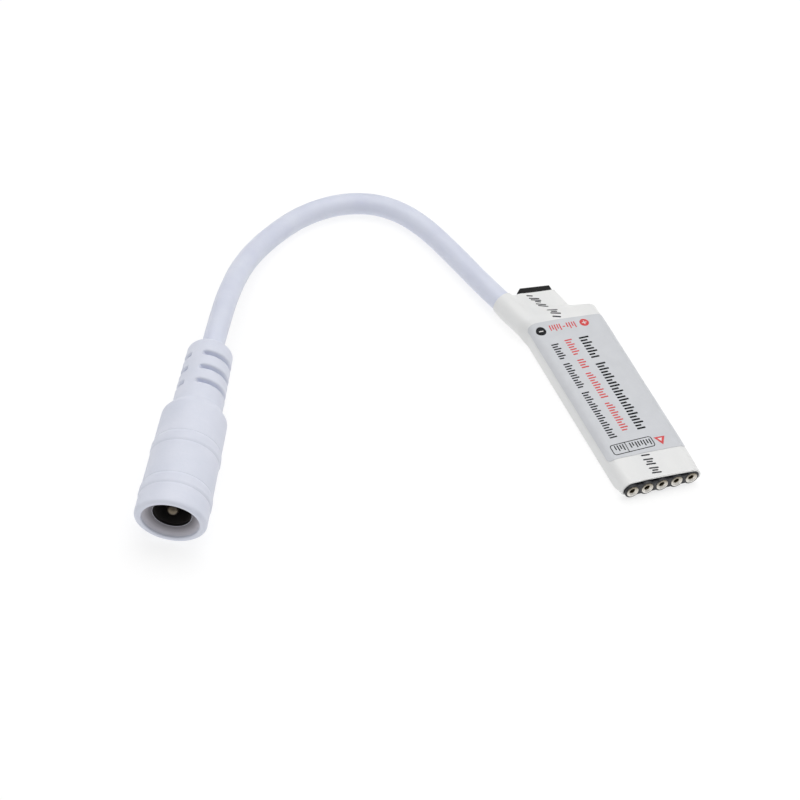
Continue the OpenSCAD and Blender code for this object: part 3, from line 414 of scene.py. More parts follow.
def body_radius(t):
    """Radius of the jack's outside without its grooves."""
    if t <= BODY_LEN:
        r = mix(MOUTH_R, SHOULDER_R, t / BODY_LEN)
        for share in BAND_SHARES:
            u = (t - share * BODY_LEN) / BAND_W
            edge = min(u, 1 - u) * BAND_W
            if edge > 0:
                r += BAND_PROUD * ease(edge / BAND_SLOPE)
            r -= BAND_LINE * exp(-((edge - BAND_LINE_PLACE) / BAND_LINE_W) ** 2)
        return r
    if t <= RELIEF_T:
        s = (t - BODY_LEN) / SHOULDER_LEN
        return mix(SHOULDER_R, RELIEF_THICK_R, ease(s) * 0.6 + s * s * 0.4)
    if t <= RELIEF_END:
        return mix(RELIEF_THICK_R, RELIEF_THIN_R, (t - RELIEF_T) / (RELIEF_END - RELIEF_T))
    s = (t - RELIEF_END) / ROUND_LEN
    return mix(ROUND_END_R, RELIEF_THIN_R, sqrt(max(0.0, 1 - s * s)))


def mouth_share(t):
    """The share of the mouth's turn at this distance."""
    return 1 - ease(t / MOUTH_FADE)


def turned_t(t, down, share):
    """Distance from the mouth after its turn: the upper rim comes forward, the lower goes back."""
    return t + share * (MOUTH_TURN * down - MOUTH_FORWARD)


def recess_rows():
    """The dished recess from the hole to the rim: distance, radius and share of the mouth's turn."""
    rows = []
    for k in range(RECESS_STEPS + 1):
        a = pi / 2 * k / RECESS_STEPS
        rows.append((RECESS_DEPTH - RECESS_FLOOR - RECESS_RISE * (1 - cos(a)),
                     mix(LIP_R + LIP_W, RECESS_R, sin(a)), (1 - cos(a)) ** TURN_POWER))
    return rows


def rim_rows():
    """The rounded rim, from the recess to the outside."""
    rows = []
    for k in range(RIM_INNER_STEPS + 1):
        a = radians(180 + 90 * k / RIM_INNER_STEPS)
        rows.append((RIM_INNER_R * (1 + sin(a)), RECESS_R + RIM_INNER_R * (1 + cos(a)), 0, 1))
    for k in range(1, RIM_OUTER_STEPS + 1):
        a = radians(90 - 90 * k / RIM_OUTER_STEPS)
        t = RIM_OUTER_R * (1 - sin(a))
        rows.append((t, body_radius(RIM_OUTER_R) - RIM_OUTER_R + RIM_OUTER_R * cos(a), 0, mouth_share(t)))
    return rows


def jack_outside():
    """Rows of the moulding: distance from the mouth, radius, shares of a groove's depth and the mouth's turn."""
    steps = list(np.arange(RIM_OUTER_R + ROW_STEP, BODY_LEN, ROW_STEP))
    for share in BAND_SHARES:
        for edge in (share * BODY_LEN, share * BODY_LEN + BAND_W):
            steps = [t for t in steps if abs(t - edge) > EDGE_CLEAR]
            steps += [edge + d for d in EDGE_ROWS]
    steps += [BODY_LEN + SHOULDER_LEN * k / ROUND_STEPS for k in range(ROUND_STEPS + 1)]
    grooves = []
    for k in range(GROOVE_COUNT):
        start = GROOVE_T + k * GROOVE_PITCH
        grooves += [(start + d, depth) for d, depth in GROOVE_WALL]
        grooves += [(start + GROOVE_W - d, depth) for d, depth in GROOVE_WALL[-2::-1]]
    relief = [(t, 0.0) for t in np.arange(RELIEF_T + ROW_STEP, RELIEF_END, ROW_STEP)
              if all(abs(t - place) > GROOVE_CLEAR for place, _ in grooves)]
    end = [RELIEF_END + ROUND_LEN * sin(pi / 2 * k / ROUND_STEPS) for k in range(ROUND_STEPS + 1)]
    return ([(t, r, 0, 0) for t, r in LIP_ROWS] + [(t, r, 0, share) for t, r, share in recess_rows()] + rim_rows()
            + [(t, body_radius(t), 0, mouth_share(t)) for t in sorted(steps)]
            + [(t, body_radius(t), depth, 0) for t, depth in sorted(relief + grooves)]
            + [(t, body_radius(t), 0, 0) for t in end] + [(t, r, 0, 0) for t, r in INSIDE_ROWS])


def spine_mask(turn):
    """0 on a spine and 1 well away from it."""
    away = min(abs((turn - SPINE_TURN - k * 180 + 90) % 360 - 90) for k in range(SPINE_COUNT))
    half = degrees(asin(SPINE_W / 2 / RELIEF_THICK_R))
    return ease((away - half + SPINE_EDGE) / SPINE_FADE)


def jack_mesh(rows):
    """The closed mesh of rows about the jack's axis."""
    masks = [spine_mask(turn) for turn in JACK_TURNS]
    points = []
    for t, radius, depth, share in rows:
        for turn, mask in zip(JACK_TURNS, masks):
            r = radius - GROOVE_DEPTH * depth * mask
            down = r * cos(radians(turn))
            points.append((down, r * sin(radians(turn)), turned_t(t, down, share)))
    return mesh_from(in_jack(points), ring_faces(len(rows), JACK_SIDES, True))


jack_body = new_piece("jack_body", jack_mesh(jack_outside()), "jack_white", JACK_CREASE, ["jack_overmould"])

# Painted shade: the recess darkens towards its hole, as in the photo
recess_painted_shade = Nodes("recess_painted_shade")
MATERIALS["recess_painted_shade"] = painted_shading(recess_painted_shade, recess_painted_shade.from_axis(jack_origin * MM, jack_dir), RECESS_PAINTED_SHADE_TONES,
                                   (0.5, 0.62), 7000, 9e-6)
# A thin sheet over the recess carries the painted shade
shade_sheet = SHADE_SHEET_EDGE + recess_rows()[:-1]
shade_sheet_rows = [(t - SHADE_SHEET_OUT, r, 0, share) for t, r, share in shade_sheet]
shade_sheet_rows += [(t + SHADE_SHEET_IN, r + SHADE_SHEET_IN, 0, share) for t, r, share in shade_sheet[::-1]]
jack_recess_shade_sheet = new_piece("jack_recess_shade_sheet", jack_mesh(shade_sheet_rows), "recess_painted_shade", JACK_CREASE)


# Sleeve: the sections of part.scad, with finer steps and a soft unevenness
# Places along y
LABEL_START, LABEL_Y, SLEEVE_Y, FACE_Y = -15.75, 14.55, -20.8, -21.2
SHOULDER_Y, FOOT_Y, MOUTH_Y = 17.25, 18.75, 23.25
SWELL_Y, WRAP_Y = LABEL_Y - 1.75, 16.6
# Sizes across
BODY_X, BODY_H, NECK_X, NECK_H = 6.75, 3.275, 2.42, 1.705
WALL, LOW_R, TOP_R, NECK_R = 0.3, 0.45, 1.5, 0.5
AXIS_Z, CONTACT_PITCH, CONTACT_COUNT = 1.605, 2.54, 5
END_X = CONTACT_PITCH * (CONTACT_COUNT - 1) / 2
END_ARC_R = AXIS_Z - 0.03
CROWN = 0.08
# The cuff round the cable, and the web from it to the board's neck
entry_run = np.array(CABLE_ROUTE[CABLE_EXIT]) - np.array(CABLE_ROUTE[-1])
ENTRY_LEAN = atan2(-entry_run[0], entry_run[1])
CUFF_R = 2.12
CUFF_ARC_R = CUFF_R - 0.03
CUFF_BACK, CUFF_TAPER, CUFF_TAPER_LEN = 1.3, 0.15, 2.2
WEB_PULL, WEB_ANGLE = 0.8, 0.34
# From the header's outline to the body's: length, shares of the outline and of the low corner
HEADER_FADE, LEFT_LAG = 3.8, 1.1
HEADER_SHARES, HEADER_LOW_SHARES = (0, 0.3, 0.6, 0.78, 1), (1, 0.92, 0.5, 0.12, 0)
# The right shoulder: places along it, and shares of the way in and down to the neck
SHOULDER_LONG = FOOT_Y - SHOULDER_Y
SHOULDER_PLACES = (-0.4, -0.17, 0, 0.25, 0.6, 1)
SHOULDER_IN, SHOULDER_DOWN = (0, 0.03, 0.12, 0.3, 0.56, 0.78), (0.05, 0.12, 0.22, 0.4, 0.62, 0.84)
# The neck: places along it and shares of the way in
NECK_PLACES, NECK_IN = (0.12, 0.3, 0.5, 0.7, 0.86), (0.84, 0.87, 0.91, 0.95, 0.98)
LOW_STEPS, TOP_STEPS, WEB_STEPS, SIDE_STEPS, FLOOR_STEPS = 8, 14, 44, 3, 20


def stations():
    """Right-hand outline: y, edge, height, lower and upper corner radius."""
    rows = []
    for s, low in zip(HEADER_SHARES, HEADER_LOW_SHARES):
        rows.append((SLEEVE_Y + HEADER_FADE * s, mix(END_X + AXIS_Z, BODY_X, s), mix(2 * AXIS_Z, BODY_H, s),
                     mix(LOW_R, END_ARC_R, low), mix(END_ARC_R, TOP_R, s)))
    for y in (LABEL_START, -12, -4, 4, 12, LABEL_Y):
        rows.append((y, BODY_X, BODY_H, LOW_R, TOP_R))
    for s, inward, down in zip(SHOULDER_PLACES, SHOULDER_IN, SHOULDER_DOWN):
        rows.append((SHOULDER_Y + SHOULDER_LONG * s, mix(BODY_X, NECK_X, inward), mix(BODY_H, NECK_H, down), LOW_R,
                     mix(TOP_R, NECK_R, down)))
    for s, inward in zip(NECK_PLACES, NECK_IN):
        rows.append((mix(FOOT_Y, MOUTH_Y, s), mix(BODY_X, NECK_X, inward), NECK_H, LOW_R, NECK_R))
    rows.append((MOUTH_Y, NECK_X, NECK_H, LOW_R, NECK_R))
    return np.array(rows)


STATIONS = stations()


def cubic(u, a, b, slope_a, slope_b):
    """The value at u between a at 0 and b at 1, with these slopes there."""
    return ((2 * u ** 3 - 3 * u * u + 1) * a + (u ** 3 - 2 * u * u + u) * slope_a
            + (3 * u * u - 2 * u ** 3) * b + (u ** 3 - u * u) * slope_b)


def hermite_table(x, xs, ys):
    """Smooth monotone value at x of a table."""
    i = int(np.clip(np.searchsorted(xs, x) - 1, 0, len(xs) - 2))
    slopes = np.diff(ys) / np.diff(xs)

    def tangent(k):
        if k == 0 or k == len(xs) - 1:
            return 0.0
        a, b = slopes[k - 1], slopes[k]
        return 0.0 if a * b <= 0 else 2 * a * b / (a + b)

    h = xs[i + 1] - xs[i]
    return cubic((x - xs[i]) / h, ys[i], ys[i + 1], h * tangent(i), h * tangent(i + 1))


def station(y):
    return [hermite_table(y, STATIONS[:, 0], STATIONS[:, k]) for k in range(1, 5)]


def unevenness(x, y):
    return (0.5 * sin(0.62 * x + 0.41 * y + 0.3) + 0.32 * sin(-0.35 * x + 0.83 * y + 1.1)
            + 0.22 * sin(1.25 * x - 0.77 * y + 2.0) + 0.14 * sin(0.9 * x + 1.9 * y + 0.7))


def between(a, b, steps):
    """The points between two others on a straight line."""
    return [tuple(mix(np.array(a), np.array(b), k / steps)) for k in range(1, steps)]


def section(y, d, label_turn=None):
    """The film's section at y, d inside its face; with label_turn, only what the label covers."""
    edge, height, low, top = station(y)
    swell = ease((y - SWELL_Y) / (WRAP_Y - SWELL_Y))
    valley = ease((y - LABEL_Y) / (MOUTH_Y - LABEL_Y))
    entry_x = CABLE_ROUTE[-1][0] + entry_run[0] * (y - CABLE_ROUTE[-1][1]) / entry_run[1]
    # The left-hand side grows into the cuff round the cable
    left_x = mix(-edge if y < 0 else -BODY_X, entry_x - CUFF_R, swell)
    left_low = mix(station(y + LEFT_LAG)[2] if y < 0 else LOW_R, CUFF_ARC_R, swell * swell)
    left_top = mix(top, CUFF_ARC_R, swell)
    left_h = mix(height if y < SHOULDER_Y else BODY_H, 2 * CUFF_R, swell)
    lean = swell * ENTRY_LEAN
    cl, sl = cos(lean), sin(lean)
    back = CUFF_BACK * ease((y - SWELL_Y) / (MOUTH_Y - SWELL_Y))
    out = CUFF_TAPER * ease((y - MOUTH_Y + CUFF_TAPER_LEN) / CUFF_TAPER_LEN)
    thin = d * (1 - out / WALL)
    start = 90 * mix(1, WEB_ANGLE, valley)

    def left(q, z):
        return (left_x + left_top + q * cl + back * sl, y + q * sl - back * cl, z)

    def right_arc(from_angle):
        return [(edge - top + (top - d) * cos(a), y, height - top + (top - d) * sin(a))
                for a in np.radians(np.linspace(from_angle, 90, TOP_STEPS + 1))]

    def left_arc(to_angle):
        r = left_top - out - thin
        return [left(r * cos(a), left_h - left_top + r * sin(a))
                for a in np.radians(np.linspace(start, to_angle, TOP_STEPS + 1))]

    def web():
        a = radians(start)
        r = left_top - out - thin
        p0 = np.array((edge - top, y, height - d))
        p1 = np.array(left(r * cos(a), left_h - left_top + r * sin(a)))
        span = np.linalg.norm(p1 - p0)
        t0 = np.array((-span, 0, 0))
        t1 = span * mix(1, WEB_PULL, valley) * np.array((-sin(a), 0, cos(a)))
        line = []
        for k in range(1, WEB_STEPS):
            u = k / WEB_STEPS
            p = cubic(u, p0, p1, t0, t1)
            p[1] += (3 * u * u - 2 * u ** 3 - u ** 4) * (p0[1] - p1[1])
            p[2] += CROWN * 4 * u * (1 - u) * (1 - valley)
            line.append(tuple(p))
        return line

    if label_turn is not None:
        return uneven(right_arc(label_turn) + web() + left_arc(180 - label_turn), height)
    right_low = [(edge - low + (low - d) * cos(a), y, low + (low - d) * sin(a))
                 for a in np.radians(np.linspace(-90, 0, LOW_STEPS + 1))]
    r = left_low - out - thin
    left_low_arc = [left(left_low - left_top + r * cos(a), left_low + r * sin(a))
                    for a in np.radians(np.linspace(180, 270, LOW_STEPS + 1))]
    upper_right, upper_left = right_arc(0), left_arc(180)
    ring = (right_low + between(right_low[-1], upper_right[0], SIDE_STEPS) + upper_right + web() + upper_left
            + between(upper_left[-1], left_low_arc[0], SIDE_STEPS) + left_low_arc
            + between(left_low_arc[-1], right_low[0], FLOOR_STEPS))
    return uneven(ring, height)


# The film's soft waves: size, shares of the height where they start and rise, fade at the ends
UNEVEN, WAVE_FROM, WAVE_OVER, WAVE_FADE = 0.035, 0.45, 0.5, 3
# Cut edges: the neck's is askew over the tongue, the header's draws back near the floor
MOUTH_SKEW, SKEW_X, SKEW_OVER = 0.1, -5, 1.5
EDGE_SKEW, EDGE_OUT, EDGE_LIMIT, EDGE_BACK, EDGE_FROM, EDGE_OVER = 0.047, 0.1, 0.36, -0.04, 3.6, 3.4
EDGE_LOW, EDGE_LOW_Z, EDGE_LOW_OVER = 0.42, 0.3, 1.1


def uneven(ring, height):
    """Lifts and lowers the upper points, and sets both cut edges of the film askew."""
    out = []
    for x, y, z in ring:
        up = ease((z - WAVE_FROM * height) / (WAVE_OVER * height))
        ends = ease((y - SLEEVE_Y) / WAVE_FADE) * ease((MOUTH_Y - y) / WAVE_FADE)
        over_tongue = ease((x - SKEW_X) / SKEW_OVER) * ease((y - FOOT_Y) / (MOUTH_Y - FOOT_Y))
        at_header = ease((SLEEVE_Y + EDGE_FROM - y) / EDGE_OVER)
        out_by = min(EDGE_LIMIT, max(EDGE_BACK, EDGE_OUT + EDGE_SKEW * x))
        out_by -= EDGE_LOW * (1 - ease((z - EDGE_LOW_Z) / EDGE_LOW_OVER))
        turned_y = y - MOUTH_SKEW * (x + 1) * over_tongue - out_by * at_header
        out.append((x, turned_y, z + UNEVEN * up * ends * unevenness(x, y)))
    return out


# The film's rounded cut edge from outside to inside: shift along y, depth into the wall
LIP_SHIFTS = ((0.14, 0), (0.05, 0.004), (0.015, 0.035), (0, 0.09), (0, 0.21), (0.015, 0.265), (0.05, 0.296),
              (0.14, WALL))
LIP_LEN = 0.35
ROW_RUNS = ((SLEEVE_Y + LIP_LEN, -16.9, 14), (-16.6, SWELL_Y, 44), (SWELL_Y, MOUTH_Y - LIP_LEN, 60))


def make_sleeve():
    y_rows = sorted({round(v, 3) for run in ROW_RUNS for v in np.linspace(*run)})
    loop = [section(SLEEVE_Y + shift, d) for shift, d in LIP_SHIFTS[::-1]]
    loop += [section(y, 0) for y in y_rows]
    loop += [section(MOUTH_Y - shift, d) for shift, d in LIP_SHIFTS]
    loop += [section(y, WALL) for y in y_rows[::-1]]
    flat = [p for ring in loop for p in ring]
    return mesh_from(flat, ring_faces(len(loop), len(loop[0]), True))


FILM_CREASE = 45
sleeve = new_piece("sleeve", make_sleeve(), "sleeve_film", FILM_CREASE, ["shrink_sleeve"])


# Label: a strip of the same sections
LABEL_T, LABEL_LIFT, LABEL_CORNER_R, LABEL_WRAP, LABEL_SKEW = 0.06, 0.012, 0.85, 28, -0.035
CORNER_STEPS, LABEL_ROWS, SLOPE_STEP = 10, 60, 0.3


def label_row(y, d, turn):
    """A row of the label, which is stuck on a little askew."""
    before, here, after = (np.array(section(y + k * SLOPE_STEP, d, label_turn=turn)) for k in (-1, 0, 1))
    askew = LABEL_SKEW * here[:, :1]
    return [tuple(p) for p in here + np.where(askew > 0, after - here, here - before) * askew / SLOPE_STEP]


def make_label():
    corner = [LABEL_CORNER_R * (1 - cos(pi / 2 * k / CORNER_STEPS)) for k in range(CORNER_STEPS + 1)]
    ys = [LABEL_START + c for c in corner]
    ys += list(np.linspace(LABEL_START + LABEL_CORNER_R, LABEL_Y - LABEL_CORNER_R, LABEL_ROWS))[1:-1]
    ys += [LABEL_Y - c for c in corner[::-1]]
    top, under = [], []
    for y in ys:
        in_corner = max(0.0, LABEL_CORNER_R - min(LABEL_Y - y, y - LABEL_START))
        pull = LABEL_CORNER_R - sqrt(max(0.0, LABEL_CORNER_R ** 2 - in_corner ** 2))
        turn = LABEL_WRAP + degrees(pull / TOP_R)
        top.append(label_row(y, -LABEL_LIFT - LABEL_T, turn))
        under.append(label_row(y, -LABEL_LIFT, turn))
    rows, wide = len(ys), len(top[0])
    low = rows * wide
    faces = [f for pair in zip(grid_faces(rows, wide), grid_faces(rows, wide, low, flip=True)) for f in pair]
    rim = [edge for j in range(wide - 1) for edge in ((j + 1, j), (low - wide + j, low - wide + j + 1))]
    for i in range(rows - 1):
        a, b = i * wide, (i + 1) * wide - 1
        rim += [(a, a + wide), (b + wide, b)]
    faces += [(a, b, low + b, low + a) for a, b in rim]
    return mesh_from([p for row in top + under for p in row], faces)


label = new_piece("label", make_label(), "label_face", FILM_CREASE, ["rating_label"])


# Printed marks: thin closed patches on the label or the sleeve
PRINT_CREASE, PRINT_T, PRINT_SINK, PALE_T, FILM_PRINT_T = 60, 0.012, 0.03, 0.025, 0.05
RAY_FROM = 20
BAR_STEP, BAR_COLUMNS, CAP_STEPS, CAP_WIDTH = 0.25, 5, 5, 0.25
DISC_RINGS, DISC_SIDES, DISC_CENTRE_R = 4, 40, 0.02
TRIANGLE_STEPS, CORNER_LINE_STEPS, LINE_STEP = 8, 6, 0.5


class Print:
    """Gathers patches in the plane, drapes them over a piece and closes them below it."""

    def __init__(self, piece, thick=PRINT_T):
        mesh = piece.data
        places = [v.co / MM for v in mesh.vertices]
        self.tree = BVHTree.FromPolygons(places, [p.vertices[:] for p in mesh.polygons])
        self.thick = thick
        self.points, self.faces = [], []

    def patch(self, points, faces):
        """Plane points and faces, draped over the piece."""
        top, low, start, count = [], [], len(self.points), len(points)
        for x, y in points:
            hit = self.tree.ray_cast(Vector((x, y, RAY_FROM)), Vector((0, 0, -1)))[0]
            z = hit.z if hit is not None else 0.0
            top.append((x, y, z + self.thick))
            low.append((x, y, z - PRINT_SINK))
        self.points += top + low
        for face in faces:
            self.faces.append(tuple(start + k for k in face))
            self.faces.append(tuple(start + count + k for k in face[::-1]))
        edges = dict.fromkeys(edge for face in faces for edge in zip(face, face[1:] + face[:1]))
        for a, b in edges:
            if (b, a) not in edges:
                self.faces.append((start + b, start + a, start + count + a, start + count + b))

    def bar(self, start, end, width, cap_share=0.5):
        """A stroke with rounded ends; cap_share is their length as a share of the width."""
        a, b = np.array(start, float), np.array(end, float)
        length = np.linalg.norm(b - a)
        along = (b - a) / length
        across = np.array((-along[1], along[0]))
        r = width / 2
        cap = min(r * 2 * cap_share, length / 2)
        angles = [pi / 2 * k / (CAP_STEPS - 1) for k in range(CAP_STEPS)]
        caps = [((1 - cos(q)) * cap, sin(q)) for q in angles]
        n = max(1, int((length - 2 * cap) / BAR_STEP))
        places = caps + [(cap + (length - 2 * cap) * k / n, 1.0) for k in range(1, n)]
        places += [(length - s, w) for s, w in caps[::-1]]
        points = [tuple(a + along * s + across * r * max(w, CAP_WIDTH) * (2 * j / (BAR_COLUMNS - 1) - 1))
                  for s, w in places for j in range(BAR_COLUMNS)]
        self.patch(points, grid_faces(len(places), BAR_COLUMNS, flip=True))

    def disc(self, centre, radius):
        points = []
        for i in range(DISC_RINGS + 1):
            r = radius * (i / DISC_RINGS) if i else DISC_CENTRE_R
            for j in range(DISC_SIDES):
                a = 2 * pi * j / DISC_SIDES
                points.append((centre[0] + r * cos(a), centre[1] + r * sin(a)))
        faces = [(f[0], *f[:0:-1]) for f in ring_faces(DISC_RINGS + 1, DISC_SIDES)]
        self.patch(points, faces + [tuple(range(DISC_SIDES))])

    def triangle(self, a, b, c):
        a, b, c = (np.array(q, float) for q in (a, b, c))
        n, index, points, faces = TRIANGLE_STEPS, {}, [], []
        for i in range(n + 1):
            for j in range(n + 1 - i):
                index[i, j] = len(points)
                points.append(tuple(a + (b - a) * i / n + (c - a) * j / n))
        for i in range(n):
            for j in range(n - i):
                faces.append((index[i, j], index[i + 1, j], index[i, j + 1]))
                if i + j < n - 1:
                    faces.append((index[i + 1, j], index[i + 1, j + 1], index[i, j + 1]))
        if np.cross(b - a, c - a) < 0:
            faces = [f[::-1] for f in faces]
        self.patch(points, faces)

    def outline(self, centre, size, corner, width):
        """A rounded rectangle drawn as a line."""
        hx, hy = size[0] / 2, size[1] / 2
        path = []
        for (sx, sy), a0 in zip(((1, 1), (-1, 1), (-1, -1), (1, -1)), (0, 90, 180, 270)):
            for k in range(CORNER_LINE_STEPS + 1):
                a = radians(a0 + 90 * k / CORNER_LINE_STEPS)
                path.append((centre[0] + sx * (hx - corner) + corner * cos(a),
                             centre[1] + sy * (hy - corner) + corner * sin(a), cos(a), sin(a)))
        fine = []
        for p, q in zip(path, path[1:] + path[:1]):
            n = max(1, int(dist(p[:2], q[:2]) / LINE_STEP))
            fine += [p, *between(p, q, n)]
        points = [(x + side * nx * width / 2, y + side * ny * width / 2)
                  for x, y, nx, ny in fine for side in (-1, 1)]
        starts = range(0, len(points), 2)
        self.patch(points, [(a, a + 1, b + 1, b) for a, b in zip(starts, [*starts[1:], 0])])

    def piece(self, name, ink, slot):
        return new_piece(name, mesh_from(self.points, self.faces), ink, PRINT_CREASE)


STROKE_HEIGHTS = (1, 0.72, 1, 0.72, 0.86, 1, 0.62, 0.86)
STROKE_CAP, WORD_GAP = 0.25, 1.6


def strokes(sheet, words, base, start, end, height, width, slope):
    """A line of plain strokes from start to end along y; words are the counts of its groups."""
    step = (end - start) / (sum(words) + WORD_GAP * (len(words) - 1) - 1)
    y, k = start, 0
    for count in words:
        for _ in range(count):
            x = base + slope * (y - start)
            share = STROKE_HEIGHTS[k % len(STROKE_HEIGHTS)]
            sheet.bar((x, y), (x + height * share, y), width, STROKE_CAP)
            y += step
            k += 1
        y += WORD_GAP * step


def side_strokes(sheet, places, y, height, width):
    """Plain strokes along y at the given x places, askew with the label."""
    for k, x in enumerate(places):
        share = STROKE_HEIGHTS[k % len(STROKE_HEIGHTS)]
        sheet.bar((x, y + LABEL_SKEW * x), (x, y - height * share + LABEL_SKEW * x), width, STROKE_CAP)


def cross_marks(sheet, marks, lean, width):
    """Short bars across the sleeve; marks are their middles and half lengths."""
    for x, y, half in marks:
        sheet.bar((x - half, y + lean * half), (x + half, y - lean * half), width)


dark, red, pale = Print(label), Print(label), Print(label, PALE_T)
# Three lines along the label
strokes(dark, (8, 24), 0.2, 9.95, -10.8, 1.7, 0.34, -0.011)
strokes(red, (7, 4, 11, 12), -2.3, 10.1, -10.4, 1.3, 0.26, -0.013)
strokes(dark, (7, 11, 20), -4.8, 9.75, -11.3, 1.3, 0.26, -0.01)
# Polarity discs with their minus and plus
MARK_W = 0.17
dark.disc((-5.03, 13.05), 0.84)
pale.bar((-5.42, 13.06), (-4.64, 13.04), MARK_W)
red.disc((2.6, 13.02), 0.78)
pale.bar((2.2, 13.02), (3.0, 13.02), MARK_W)
pale.bar((2.6, 12.62), (2.6, 12.9), MARK_W)
pale.bar((2.6, 13.14), (2.6, 13.42), MARK_W)
# The line between the discs
SMALL_W = 0.2
side_strokes(red, (0.95, 0.55, 0.1, -0.35), 13.72, 1.3, SMALL_W)
red.bar((-0.75, 13.1), (-1.2, 13.12), SMALL_W, STROKE_CAP)
side_strokes(red, (-1.6, -2.0, -2.45, -2.85, -3.3), 13.72, 1.3, SMALL_W)
# The box with its two fields, and the triangle
dark.outline((-1.85, -13.85), (7.0, 2.05), 0.42, 0.15)
dark.bar((-2.8, -12.9), (-2.86, -14.82), 0.13, 0.2)
side_strokes(dark, (1.2, 0.75, 0.25, -0.2, -0.7, -1.15, -1.65, -2.1), -13.2, 1.25, SMALL_W)
side_strokes(dark, (-3.3, -3.75, -4.2, -4.65), -13.2, 1.25, SMALL_W)
red.triangle((2.06, -13.25), (3.96, -13.3), (2.95, -14.98))
pale.triangle((2.6, -13.55), (3.36, -13.57), (2.97, -14.25))
dark.piece("label_print_dark", "ink_black", "label_face")
red.piece("label_print_red", "ink_red", "label_face")
pale.piece("label_print_pale", "ink_pale", "label_face")

# On the film: on the neck and the shoulder, then beside the header
film_print = Print(sleeve, FILM_PRINT_T)
cross_marks(film_print, ((-2.45, 22.5, 0.5), (-2.05, 21.65, 0.85), (-1.95, 21.15, 0.85), (-1.85, 20.65, 0.5),
                         (-1.68, 19.85, 0.85), (-1.55, 19.3, 0.85), (-1.3, 16.95, 0.85), (-1.25, 16.4, 0.5),
                         (-1.2, 15.9, 0.85), (-1.35, 15.15, 0.7)), 0.25, 0.24)
cross_marks(film_print, ((-0.78, -16.2, 0.7), (-0.75, -17.1, 0.8), (-0.73, -17.6, 0.5), (-0.71, -18.1, 0.8),
                         (-0.68, -18.95, 0.8), (-0.66, -19.45, 0.5), (-0.63, -19.95, 0.8)), 0.12, 0.24)
film_print.piece("sleeve_print", "ink_grey", "sleeve_film")


# Header and contacts, drawn along +y from the header's face
CELL_D, BRIDGE_T, HEADER_DEPTH = 2.5, 1.8, 3.0
HEAD_D, SHELL_D, BORE_D, MOUTH_D, TAIL_D = 1.94, 1.45, 0.92, 1.56, 0.5
CLIP_BORE, CLIP_BACK = 0.6, 2.18
HEAD_GAP, HEADER_BEVEL, HEADER_CREASE = 0.04, 0.07, 35
CELL_STEPS, HOLE_SIDES = 25, 40
CONTACT_SIDES, CONTACT_CREASE = 48, 50


def contact_x(i):
    return (i - (CONTACT_COUNT - 1) / 2) * CONTACT_PITCH


def header_outline():
    """The housing's outline as x and z: an arc for each cell below, then back above."""
    r = CELL_D / 2
    low = degrees(asin(BRIDGE_T / 2 / r))
    last = CONTACT_COUNT - 1
    spans = [(i, -180 if i == 0 else low - 180, 0 if i == last else -low) for i in range(CONTACT_COUNT)]
    spans += [(i, 0 if i == last else low, 180 if i == 0 else 180 - low) for i in reversed(range(CONTACT_COUNT))]
    outline = []
    for i, start, end in spans:
        for a in np.linspace(start, end, CELL_STEPS):
            p = (contact_x(i) + r * cos(radians(a)), AXIS_Z + r * sin(radians(a)))
            if not outline or dist(p, outline[-1]) > 1e-4:
                outline.append(p)
    if dist(outline[0], outline[-1]) < 1e-4:
        outline.pop()
    return outline


def make_header():
    """The housing's outline with five holes, run back and bevelled at the front."""
    bm = bmesh.new()
    hole = (HEAD_D + HEAD_GAP) / 2
    loops = [header_outline()]
    for i in range(CONTACT_COUNT):
        angles = [-2 * pi * k / HOLE_SIDES for k in range(HOLE_SIDES)]
        loops.append([(contact_x(i) + hole * cos(a), AXIS_Z + hole * sin(a)) for a in angles])
    edges = []
    for loop in loops:
        verts = [bm.verts.new((x * MM, FACE_Y * MM, z * MM)) for x, z in loop]
        edges += [bm.edges.new((a, b)) for a, b in zip(verts, verts[1:] + verts[:1])]
    bmesh.ops.triangle_fill(bm, use_beauty=True, use_dissolve=False, edges=edges)
    made = bmesh.ops.extrude_face_region(bm, geom=list(bm.faces))
    moved = [g for g in made["geom"] if isinstance(g, bmesh.types.BMVert)]
    bmesh.ops.translate(bm, vec=(0, HEADER_DEPTH * MM, 0), verts=moved)
    bm.normal_update()
    front = [e for e in bm.edges
             if len(e.link_faces) == 2 and all(abs(v.co.y - FACE_Y * MM) < 1e-9 for v in e.verts)
             and sum(abs(f.normal.y) > 0.5 for f in e.link_faces) == 1]
    bmesh.ops.bevel(bm, geom=front, offset=HEADER_BEVEL * MM, segments=2, profile=0.5, affect="EDGES",
                    clamp_overlap=True)
    bmesh.ops.recalc_face_normals(bm, faces=bm.faces)
    return mesh_of(bm)


new_piece("header_body", make_header(), "header_black", HEADER_CREASE, ["header_housing"])


def make_contacts(profile):
    """A closed turned profile at every contact: distance from the face and radius."""
    points, faces = [], []
    for i in range(CONTACT_COUNT):
        faces += [f[::-1] for f in ring_faces(len(profile), CONTACT_SIDES, True, len(points))]
        for t, r in profile:
            for k in range(CONTACT_SIDES):
                a = 2 * pi * k / CONTACT_SIDES
                points.append((contact_x(i) + r * cos(a), FACE_Y + t, AXIS_Z + r * sin(a)))
    return mesh_from(points, faces)


def arc(centre_t, centre_r, radius, start, end):
    return [(centre_t + radius * sin(radians(a)), centre_r + radius * cos(radians(a)))
            for a in np.linspace(start, end, ARC_STEPS)]


ARC_STEPS, HEAD_ROUND, MIDDLE_R = 5, 0.1, 0.005
HEAD_FRONT, BORE_END, SHELL_BACK, TAIL_END = -0.12, 2.57, 3.0, 5.5
head_r, shell_r, bore_r, mouth_r = HEAD_D / 2, SHELL_D / 2, BORE_D / 2, MOUTH_D / 2
